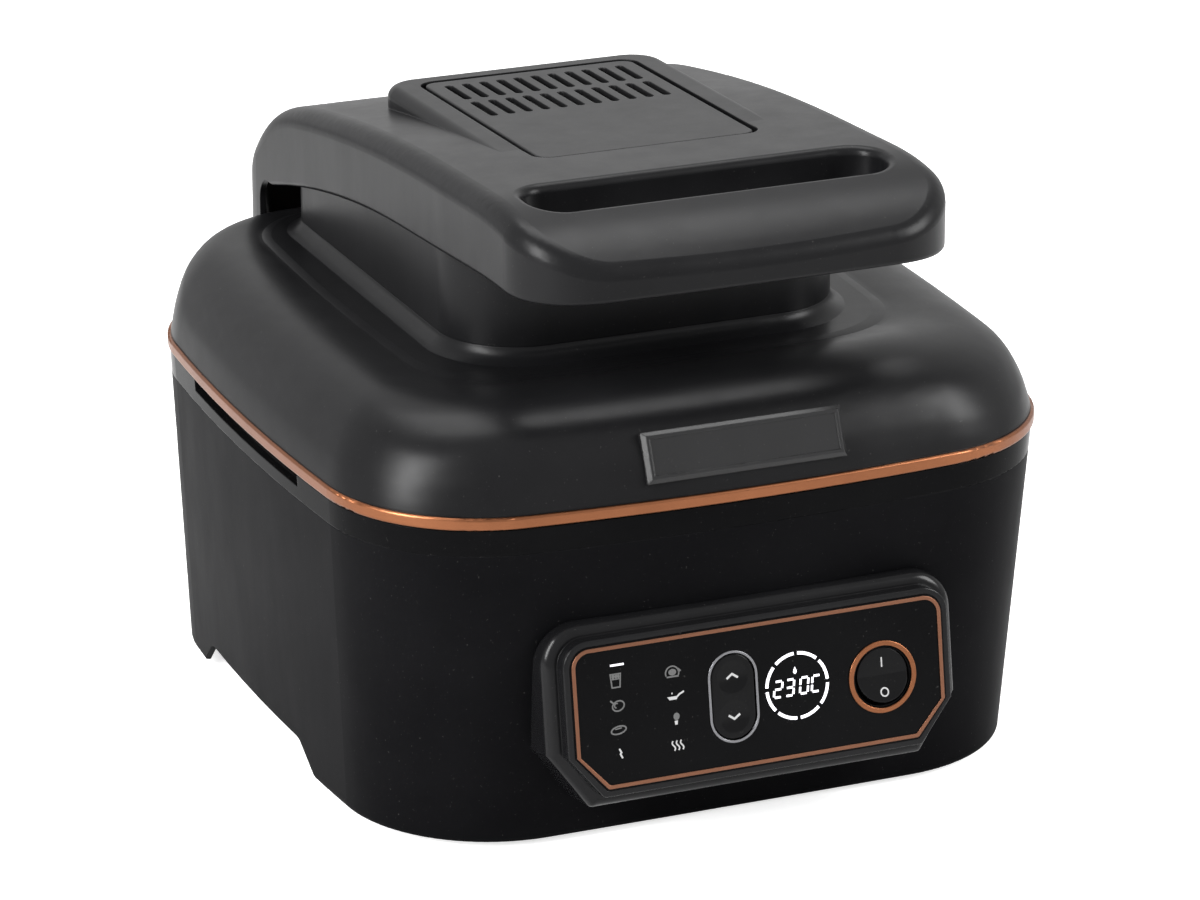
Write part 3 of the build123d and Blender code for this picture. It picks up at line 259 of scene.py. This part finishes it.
def wool(name):
    """Pressed mineral wool, in strands."""
    material, tree, shader, place = new_material(name)
    strands = noise(tree, place, 160.0, 8.0, 0.75, (1.0, 3.0, 6.0))
    tone = mixed(tree, strands, rgb(0.52, 0.49, 0.43), rgb(0.8, 0.78, 0.72))
    tree.links.new(tone, shader.inputs["Base Color"])
    shader.inputs["Roughness"].default_value = 0.95
    shader.inputs["Sheen Weight"].default_value = 0.4
    tree.links.new(bumped(tree, strands, 0.8, 0.002), shader.inputs["Normal"])
    return material


def circuit(name):
    """Laminate board with copper tracks under green varnish."""
    material, tree, shader, place = new_material(name)
    tracks = add_node(
        tree,
        "ShaderNodeTexBrick",
        {"Vector": place, "Scale": 90.0, "Mortar Size": 0.03},
        offset=0.35,
    )
    line = tracks.outputs["Fac"]
    cloud = noise(tree, place, 120.0, 2.0, 0.5)
    cloudy = ranged(tree, cloud, 0.4, 0.6)
    field = mixed(tree, cloudy, rgb(0.012, 0.085, 0.035), rgb(0.02, 0.12, 0.05))
    tree.links.new(mixed(tree, line, field, rgb(0.05, 0.2, 0.07)), shader.inputs["Base Color"])
    tree.links.new(ranged(tree, cloud, 0.3, 0.7, 0.28, 0.4), shader.inputs["Roughness"])
    tree.links.new(bumped(tree, line, 0.4, 0.0003), shader.inputs["Normal"])
    return material


def heater(name):
    """Steel tube, blued and browned by heat in bands."""
    material, tree, shader, place = new_material(name)
    bands = noise(tree, place, 30.0, 4.0, 0.6)
    ramp = add_node(tree, "ShaderNodeValToRGB", {0: bands})
    stops = (
        (0.30, (0.20, 0.19, 0.19, 1.0)),
        (0.45, (0.28, 0.22, 0.16, 1.0)),
        (0.58, (0.17, 0.16, 0.20, 1.0)),
        (0.72, (0.32, 0.30, 0.27, 1.0)),
    )
    ramp.color_ramp.elements[0].position = stops[0][0]
    ramp.color_ramp.elements[0].color = stops[0][1]
    ramp.color_ramp.elements[1].position = stops[-1][0]
    ramp.color_ramp.elements[1].color = stops[-1][1]
    for position, color in stops[1:-1]:
        ramp.color_ramp.elements.new(position).color = color
    tree.links.new(ramp.outputs[0], shader.inputs["Base Color"])
    shader.inputs["Metallic"].default_value = 1.0
    tree.links.new(ranged(tree, bands, 0.3, 0.7, 0.34, 0.5), shader.inputs["Roughness"])
    fine = noise(tree, place, 900.0, 3.0, 0.6)
    tree.links.new(bumped(tree, fine, 0.1, 0.0003), shader.inputs["Normal"])
    return material


def lamp(name, color, strength, unlit=0.5, uneven=0.12):
    """Printed mark or lamp window that light comes through, a little uneven. On printed marks
    with no lamp behind them the glow is painted light.
    """
    material, tree, shader, place = new_material(name)
    cloud = noise(tree, place, 260.0, 2.0, 0.5)
    glow = mixed(tree, ranged(tree, cloud, 0.35, 0.65), shade(color, 1 - uneven), color)
    tree.links.new(glow, shader.inputs["Emission Color"])
    shader.inputs["Emission Strength"].default_value = strength
    tone = mixed(tree, cloud, grey(unlit), grey(unlit * 1.2))
    tree.links.new(tone, shader.inputs["Base Color"])
    tree.links.new(ranged(tree, cloud, 0.3, 0.7, 0.3, 0.4), shader.inputs["Roughness"])
    return material


polish = {"grain": 2400.0, "grain_depth": 0.004}
body = plastic("body_satin", rgb(0.0035, 0.0035, 0.004), 0.42, level=0.015)
lid = plastic("lid_satin", rgb(0.005, 0.005, 0.0055), 0.32, level=0.12)
deck = plastic("deck_satin", rgb(0.008, 0.008, 0.0085), 0.40, level=0.2)
gloss = plastic("gloss_black", rgb(0.003, 0.003, 0.0033), 0.14, level=0.02, **polish)
key = plastic("key_gloss", rgb(0.003, 0.003, 0.0033), 0.16, level=0.10, smudge=0.04, **polish)
bezel = plastic("bezel_gloss", rgb(0.005, 0.005, 0.0055), 0.2, level=0.15, **polish)
glass = plastic(
    "panel_glass",
    rgb(0.002, 0.002, 0.0023),
    0.08,
    level=0.04,
    grain=2600.0,
    grain_depth=0.002,
    smudge=0.02,
    worn=0.1,
)
badge = plastic(
    "badge_gloss",
    rgb(0.009, 0.009, 0.0095),
    0.26,
    level=0.3,
    grain=2000.0,
    grain_depth=0.01,
    smudge=0.01,
    worn=0.3,
)
milky = plastic("lamp_guide", rgb(0.72, 0.72, 0.7), 0.45, worn=0.0)
copper = metal(
    "copper_trim",
    rgb(0.22, 0.085, 0.04),
    0.3,
    stretch=(1.0, 1.0, 30.0),
    lines=260.0,
    depth=0.05,
    tarnish=0.35,
)
dull_copper = metal(
    "copper_print",
    rgb(0.18, 0.082, 0.05),
    0.34,
    stretch=(1.0, 1.0, 8.0),
    lines=300.0,
    depth=0.05,
)
silver = metal("silver_line", rgb(0.19, 0.19, 0.2), 0.3, depth=0.04)
steel = metal(
    "sheet_steel", rgb(0.56, 0.56, 0.57), 0.34, stretch=(1.0, 14.0, 14.0), lines=90.0, depth=0.1
)
cast = metal("cast_aluminium", rgb(0.42, 0.42, 0.43), 0.46, lines=700.0, depth=0.25)
wire = metal("spring_steel", grey(0.58), 0.28)
zinc = metal("zinc_screws", rgb(0.42, 0.42, 0.43), 0.36, lines=900.0, depth=0.12)
can = metal("motor_can", rgb(0.36, 0.37, 0.39), 0.42, lines=240.0)
tube = heater("heater_tube")
pot = nonstick("nonstick_coating")
black_rubber = rubber("rubber_black", grey(0.018))
silicone = rubber("silicone_grey", rgb(0.2, 0.2, 0.21))
felt = wool("mineral_wool")
board = circuit("circuit_laminate")

finishes = {
    body: ("base_shell", "bottom_plate", "hinge_bracket", "key_bracket"),
    lid: ("lid_shell", "tower_skirt", "top_cover", "handle_underside", "lid_hinge_arms"),
    deck: ("vent_plate", "display_module"),
    gloss: ("rim_band", "pot_grips", "switch_body"),
    bezel: ("control_bezel",),
    glass: ("control_glass",),
    key: ("adjust_key", "power_rocker"),
    badge: ("badge_plate",),
    milky: ("icon_lamps", "cooling_fan"),
    copper: ("lid_trim_ring", "switch_ring"),
    dull_copper: ("panel_trim",),
    silver: ("key_outline",),
    steel: (
        "cavity_liner",
        "sensor_bracket",
        "heat_shield",
        "element_clips",
        "splatter_guard",
        "motor_bracket",
        "convection_fan",
    ),
    cast: ("hot_plate", "sensor_cap"),
    wire: ("sensor_spring", "hinge_pin", "motor_shaft"),
    zinc: ("bottom_screws", "hinge_screws", "shield_screws", "skirt_screws", "fan_nut"),
    can: ("fan_motor",),
    tube: ("plate_element", "heating_element"),
    pot: ("cooking_pot", "crisping_rack"),
    black_rubber: ("rubber_feet", "cord_gland"),
    silicone: ("rack_feet", "lid_gasket"),
    felt: ("lid_insulation",),
    board: ("control_board", "power_board"),
}
for material, names in finishes.items():
    for name in names:
        nodes[name].data.materials.clear()
        nodes[name].data.materials.append(material)


# Marks on the console, drawn in its leaning plane as X and up from the shoulder, in mm

panel_lean = math.radians(9.3)
panel_origin = Vector((0.0, -184.5 * MM + shift_y, 51.0 * MM))
panel_up = Vector((0.0, math.sin(panel_lean), math.cos(panel_lean)))
panel_out = Vector((0.0, -math.cos(panel_lean), math.sin(panel_lean)))
mark_height = 0.05 * MM
mark_sink = 0.02 * MM
probe_start = 0.03

trees = {}


def hit(node, start, way):
    """Where a ray first meets a CAD node."""
    if node not in trees:
        mesh = nodes[node].data
        trees[node] = BVHTree.FromPolygons(
            [v.co.copy() for v in mesh.vertices], [tuple(p.vertices) for p in mesh.polygons]
        )
    place, _, _, _ = trees[node].ray_cast(start, way)
    return place


def landing(node, x, up):
    """The place on a CAD node's face that lies under a point of the console's plane."""
    start = panel_origin + Vector((x * MM, 0, 0)) + panel_up * (up * MM)
    start += panel_out * probe_start
    return hit(node, start, -panel_out)


def add_piece(name, mesh, material, body_name):
    mesh.materials.append(material)
    piece = bpy.data.objects.new(name, mesh)
    bpy.context.scene.collection.objects.link(piece)
    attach(piece, body_name)
    return piece


def ribbon(points, width, closed=False):
    """Left and right edges of a band of even width along a run of points, mitred."""
    count = len(points)
    left, right = [], []
    for index, (x, y) in enumerate(points):
        before = points[index - 1] if index > 0 or closed else None
        after = points[(index + 1) % count] if index < count - 1 or closed else None
        ways = []
        if before:
            ways.append(Vector((x - before[0], y - before[1])).normalized())
        if after:
            ways.append(Vector((after[0] - x, after[1] - y)).normalized())
        way = sum(ways, Vector((0.0, 0.0))).normalized()
        side = Vector((-way.y, way.x))
        reach = width / 2 / max(0.5, side.dot(Vector((-ways[0].y, ways[0].x))))
        left.append((x + side.x * reach, y + side.y * reach))
        right.append((x - side.x * reach, y - side.y * reach))
    quads = []
    last = count if closed else count - 1
    for index in range(last):
        after = (index + 1) % count
        quads.append((left[index], left[after], right[after], right[index]))
    return quads


def disc(x, y, radius_x, radius_y=None, count=24, turn=0.0):
    radius_y = radius_y or radius_x
    points = []
    for step in range(count):
        angle = 2 * math.pi * step / count
        px, py = radius_x * math.cos(angle), radius_y * math.sin(angle)
        points.append(
            (
                x + px * math.cos(turn) - py * math.sin(turn),
                y + px * math.sin(turn) + py * math.cos(turn),
            )
        )
    return points


def arc(x, y, radius, start, end, count=10):
    angles = [math.radians(start + (end - start) * step / count) for step in range(count + 1)]
    return [(x + radius * math.cos(a), y + radius * math.sin(a)) for a in angles]


def draw(name, faces, material, node="control_glass", body_name="base"):
    """Thin plates of ink or light on a node's face, from polygons of the console's plane."""
    mesh = bpy.data.meshes.new(name)
    work = bmesh.new()
    seen = {}
    for face in faces:
        corners = []
        for x, y in face:
            spot = (round(x, 4), round(y, 4))
            if spot not in seen:
                seen[spot] = work.verts.new(landing(node, x, y) + panel_out * mark_height)
            if seen[spot] not in corners:
                corners.append(seen[spot])
        if len(corners) > 2:
            work.faces.new(corners)
    bmesh.ops.recalc_face_normals(work, faces=work.faces[:])
    for face in work.faces:
        if face.normal.dot(panel_out) < 0:
            face.normal_flip()
    bmesh.ops.solidify(work, geom=work.faces[:], thickness=mark_height + mark_sink)
    work.to_mesh(mesh)
    work.free()
    add_piece(name, mesh, material, body_name)


bright_lamp = lamp("lamp_white", rgb(0.93, 0.90, 1.0), 1.5)
bar_lamp = lamp("lamp_bar", rgb(0.80, 0.76, 0.86), 1.0)
# The bright mark's glow is painted light where it sits on the key and the switch, which have no
# lamp behind them.
bright_mark = lamp("mark_bright", grey(0.75), 0.42, unlit=0.22)
dim_mark = lamp("mark_dim", grey(0.5), 0.10, unlit=0.06)

# Each mark is drawn about its own centre, then moved: strokes are runs of points with a
# width, and fills are closed outlines

marks = {
    "mark_fries": (
        (-65.3, 30.5),
        dim_mark,
        [
            ([(-2.3, 2.8), (-1.8, -2.9), (1.8, -2.9), (2.3, 2.8)], 0.6, True),
            ([(-2.0, 0.6), (2.0, 0.6)], 0.5, False),
        ],
        [
            disc(-1.1, 1.8, 0.7, 1.0, 10),
            disc(0.2, 1.9, 0.6, 1.1, 10),
            disc(1.3, 1.7, 0.5, 0.9, 10),
        ],
    ),
    "mark_roast": (
        (-65.3, 20.0),
        dim_mark,
        [
            (disc(0.5, -0.4, 2.7, 2.1, 20, 0.3), 0.6, True),
            ([(-1.6, 0.9), (-3.0, 2.2)], 0.7, False),
            (arc(-0.2, -0.2, 1.0, 60, 260, 8), 0.5, False),
        ],
        [],
    ),
    "mark_loaf": (
        (-65.3, 9.3),
        dim_mark,
        [
            (disc(0.0, 0.0, 3.4, 1.6, 20, 0.15), 0.65, True),
            ([(-1.6, 0.5), (1.4, 0.8)], 0.5, False),
        ],
        [],
    ),
    "mark_flame": (
        (-64.9, -0.8),
        bright_mark,
        [([(-0.7, 2.1), (0.2, 0.4), (-0.3, -0.2), (0.6, -2.1)], 0.75, False)],
        [],
    ),
    "mark_stew": (
        (-39.5, 30.3),
        dim_mark,
        [
            (arc(-0.3, -0.5, 3.0, -30, 200, 14), 0.6, False),
            ([(-2.9, -2.0), (2.6, -2.0)], 0.7, False),
            ([(2.4, 1.2), (3.4, 0.2), (2.5, -0.4)], 0.6, False),
        ],
        [disc(-0.2, -0.1, 1.8, 1.4, 14)],
    ),
    "mark_pan": (
        (-39.6, 19.5),
        bright_mark,
        [
            ([(1.4, 0.0), (2.6, 1.0), (4.6, 1.9)], 0.75, False),
            ([(-0.9, 1.3), (-0.8, 2.0)], 0.5, False),
        ],
        [[(-3.1, 0.3), (1.9, 0.3), (1.1, -1.1), (-2.1, -1.1)]],
    ),
    "mark_bulb": (
        (-39.3, 9.6),
        dim_mark,
        [],
        [disc(0.3, 1.5, 1.4, 1.6, 16)],
    ),
    "mark_bulb_foot": (
        (-39.3, 9.6),
        bright_mark,
        [],
        [[(-0.7, -0.3), (0.8, -0.3), (0.6, -2.0), (-0.5, -2.0)]],
    ),
}


def moved(points, x, y):
    return [(px + x, py + y) for px, py in points]


for name, ((x, y), material, strokes, fills) in marks.items():
    faces = [moved(points, x, y) for points in fills]
    for points, width, closed in strokes:
        faces += ribbon(moved(points, x, y), width, closed)
    draw(name, faces, material)

waves = []
for column in (-1.9, 0.0, 1.9):
    run = []
    for step in range(9):
        along = step / 8
        sway = 0.55 * math.sin(2 * math.pi * along)
        run.append((-38.9 + column + sway - 0.5 * along, -3.4 + 4.2 * along))
    waves += ribbon(run, 0.62)
draw("mark_grill", waves, bright_mark)

draw("bar_lamp", ribbon([(-67.4, 37.1), (-61.2, 37.1)], 0.9), bar_lamp)

display = (16.7, 15.8)
ring_radius = 14.0
ring_band = 1.35
ring_parts = 8
ring_part_turn = 38.2
ring_first = 3.4
ring_faces = []
for step in range(ring_parts):
    start = step * 45 + ring_first
    part = arc(*display, ring_radius, start, start + ring_part_turn, 12)
    ring_faces += ribbon(part, ring_band)
draw("display_ring", ring_faces, bright_lamp)

segments = {
    "top": ((0, 1), (1, 1)),
    "middle": ((0, 0.5), (1, 0.5)),
    "foot": ((0, 0), (1, 0)),
    "left_top": ((0, 0.5), (0, 1)),
    "left_foot": ((0, 0), (0, 0.5)),
    "right_top": ((1, 0.5), (1, 1)),
    "right_foot": ((1, 0), (1, 0.5)),
}
glyphs = {
    "2": ("top", "right_top", "middle", "left_foot", "foot"),
    "3": ("top", "right_top", "middle", "right_foot", "foot"),
    "0": ("top", "right_top", "right_foot", "foot", "left_foot", "left_top"),
    "C": ("top", "left_top", "left_foot", "foot"),
}
glyph_width = 3.6
glyph_height = 6.8
glyph_slant = 0.12
glyph_stroke = 0.95
glyph_trim = 0.12
glyph_drop = 0.4
digit_faces = []
for glyph, start in (("2", -10.6), ("3", -5.2), ("0", 1.4), ("C", 6.9)):
    for segment in glyphs[glyph]:
        (ax, ay), (bx, by) = segments[segment]
        ends = []
        for (px, py), (qx, qy) in (((ax, ay), (bx, by)), ((bx, by), (ax, ay))):
            px += (qx - px) * glyph_trim * (1.0 if ay == by else 0.6)
            py += (qy - py) * glyph_trim
            up = (py - 0.5) * glyph_height
            across = display[0] + start + px * glyph_width + glyph_slant * up
            ends.append((across, display[1] - glyph_drop + up))
        digit_faces += ribbon(ends, glyph_stroke)
draw("display_digits", digit_faces, bright_lamp)

drop = [(0.0, 1.7), (0.75, 0.1), (0.8, -0.8), (0.0, -1.5), (-0.8, -0.8), (-0.75, 0.1)]
draw("display_drop", [moved(drop, display[0] - 0.7, display[1] + 6.6)], bright_lamp)

# The key's arrows and the switch's signs are print with no lamp behind them; they glow in the
# bright mark material, which is painted light.
key_x, key_up = -12.6, 15.5
for name, side in (("key_up_mark", 1), ("key_down_mark", -1)):
    bend = [(-2.6, -0.9 * side), (0.0, 0.9 * side), (2.6, -0.9 * side)]
    faces = ribbon(moved(bend, key_x, key_up + side * 8.8), 0.95)
    draw(name, faces, bright_mark, "adjust_key", "key")

switch_x, switch_up = 56.2, 13.6
switch_stroke = 0.6
bar_faces = ribbon([(switch_x, switch_up + 4.2), (switch_x, switch_up + 8.4)], switch_stroke)
round_faces = ribbon(disc(switch_x, switch_up - 6.4, 1.7, count=28), switch_stroke, True)
draw("switch_on_mark", bar_faces, bright_mark, "power_rocker", "rocker")
draw("switch_off_mark", round_faces, bright_mark, "power_rocker", "rocker")


# Crown of the lid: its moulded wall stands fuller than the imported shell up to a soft
# crest, then dips to the deck around the tower. Rise over the ring, and what is added, in mm

crown_steps = (
    (0.3, 0.1),
    (3.0, 2.4),
    (7.5, 5.6),
    (15.5, 7.9),
    (23.5, 7.2),
    (29.0, 5.8),
    (32.0, 3.9),
    (34.2, 1.2),
    (35.3, -0.7),
)
crown_levels = 40
crown_spokes = 320
crown_front_gain = 0.55
crown_gain_start, crown_gain_full = 70.0 * MM, 120.0 * MM
crown_gain_half = 80.0 * MM
crown_gain_fade = 55.0 * MM
crown_sink = 0.5 * MM
crown_outside = 0.3
crown_crease = math.radians(40)
ring_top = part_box("lid_trim_ring")[1].z


def eased(steps, value):
    """A smooth curve through a table's points, with slopes taken from its neighbours."""
    last = len(steps) - 1
    index = max(i for i in range(last) if steps[i][0] <= value or i == 0)
    x0, y0 = steps[index]
    x1, y1 = steps[index + 1]

    def slope(i):
        low, high = steps[max(0, i - 1)], steps[min(last, i + 1)]
        return (high[1] - low[1]) / (high[0] - low[0])

    t = (value - x0) / (x1 - x0)
    span = x1 - x0
    return (
        (2 * t**3 - 3 * t**2 + 1) * y0
        + (t**3 - 2 * t**2 + t) * span * slope(index)
        + (3 * t**2 - 2 * t**3) * y1
        + (t**3 - t**2) * span * slope(index + 1)
    )


def swell(value, low, high):
    """0 below low, 1 above high, and a smooth step between them."""
    share = max(0.0, min(1.0, (value - low) / (high - low)))
    return share * share * (3 - 2 * share)


def crown_front(spot):
    """1 at the middle of the lid's front, where the wall is fullest, 0 elsewhere."""
    ahead = swell(shift_y - spot.y, crown_gain_start, crown_gain_full)
    aside = swell(abs(spot.x), crown_gain_half, crown_gain_half + crown_gain_fade)
    return ahead * (1 - aside)


def lid_crown():
    """A closed skin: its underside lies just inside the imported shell, its top above it."""
    low, high = crown_steps[0][0], crown_steps[-1][0]
    outer, inner = [], []
    for level in range(crown_levels + 1):
        rise = low + (high - low) * level / crown_levels
        added = eased(crown_steps, rise)
        for spoke in range(crown_spokes):
            angle = 2 * math.pi * spoke / crown_spokes
            way = Vector((math.cos(angle), math.sin(angle), 0.0))
            start = Vector((0.0, shift_y, ring_top + rise * MM))
            start += way * crown_outside
            spot = hit("lid_shell", start, -way)
            gain = 1 + crown_front_gain * crown_front(spot)
            outer.append(spot + Vector((0.0, 0.0, added * gain * MM)))
            inner.append(spot - way * crown_sink - Vector((0.0, 0.0, crown_sink)))
    offset = len(outer)
    top_row = crown_levels * crown_spokes
    faces = []
    for level in range(crown_levels):
        for spoke in range(crown_spokes):
            after = (spoke + 1) % crown_spokes
            a, b = level * crown_spokes + spoke, level * crown_spokes + after
            c, d = b + crown_spokes, a + crown_spokes
            faces.append((a, b, c, d))
            faces.append((offset + d, offset + c, offset + b, offset + a))
    for spoke in range(crown_spokes):
        after = (spoke + 1) % crown_spokes
        faces.append((after, spoke, offset + spoke, offset + after))
        a, b = top_row + spoke, top_row + after
        faces.append((a, b, offset + b, offset + a))
    mesh = bpy.data.meshes.new("lid_crown")
    mesh.from_pydata(outer + inner, [], faces)
    mesh.shade_smooth()
    mesh.set_sharp_from_angle(angle=crown_crease)
    return mesh


add_piece("lid_crown", lid_crown(), lid, "lid")


# Spring under the pot's sensor, copied into a piece with a mesh of its own in place of the
# imported one; on the grill it shortens as the cap is pressed down

spring_mesh = nodes["sensor_spring"].data.copy()
spring_mesh.materials.clear()
spring = add_piece("sensor_coil", spring_mesh, wire, "base")
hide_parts("sensor_spring")
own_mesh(spring)


# Floor, light and surroundings

floor_half = 6.0
floor_color = grey(0.86)
floor_glow_seen = 0.72
floor_glow_mirrored = 0.15
world_light = 0.22
world_white = 1.0
lamp_target = Vector((0, 0, 0.15))

floor_mesh = bpy.data.meshes.new("floor")
floor_mesh.from_pydata(
    [
        (-floor_half, -floor_half, 0),
        (floor_half, -floor_half, 0),
        (floor_half, floor_half, 0),
        (-floor_half, floor_half, 0),
    ],
    [],
    [(0, 1, 2, 3)],
)
floor = bpy.data.objects.new("floor", floor_mesh)
bpy.context.scene.collection.objects.link(floor)


def sees_backdrop(tree):
    """1 for rays from the camera, a glossy surface or through glass, else 0."""
    path = add_node(tree, "ShaderNodeLightPath")
    seen = product(tree, path.outputs["Is Camera Ray"], path.outputs["Is Glossy Ray"], "MAXIMUM")
    return product(tree, seen, path.outputs["Is Transmission Ray"], "MAXIMUM")


floor_material = bpy.data.materials.new("floor")
floor_material.use_nodes = True
tree = floor_material.node_tree
shader = tree.nodes["Principled BSDF"]
shader.inputs["Base Color"].default_value = floor_color
shader.inputs["Roughness"].default_value = 0.9
shader.inputs["Specular IOR Level"].default_value = 0.0
shader.inputs["Emission Color"].default_value = grey(1)
seen_straight = add_node(tree, "ShaderNodeLightPath").outputs["Is Camera Ray"]
floor_glow = product(
    tree,
    product(tree, sees_backdrop(tree), floor_glow_mirrored),
    product(tree, seen_straight, floor_glow_seen),
    "MAXIMUM",
)
tree.links.new(floor_glow, shader.inputs["Emission Strength"])
floor_mesh.materials.append(floor_material)

world = bpy.data.worlds.new("world")
world.use_nodes = True
bpy.context.scene.world = world
tree = world.node_tree
background = tree.nodes["Background"]
background.inputs["Color"].default_value = grey(1)
strength = ranged(tree, sees_backdrop(tree), 0, 1, world_light, world_white)
tree.links.new(strength, background.inputs["Strength"])


def softbox(name, place, size_x, size_y, power):
    data = bpy.data.lights.new(name, "AREA")
    data.shape = "RECTANGLE"
    data.size = size_x
    data.size_y = size_y
    data.energy = power
    box = bpy.data.objects.new(name, data)
    bpy.context.scene.collection.objects.link(box)
    way = (lamp_target - Vector(place)).normalized()
    box.matrix_world = aimed(place, way)


softbox("top_box", (0.2, 0.5, 1.9), 1.5, 1.0, 28.0)
softbox("left_box", (-1.5, -0.45, 0.98), 0.5, 1.2, 52.0)
softbox("right_box", (1.35, -1.05, 0.95), 0.7, 0.8, 30.0)
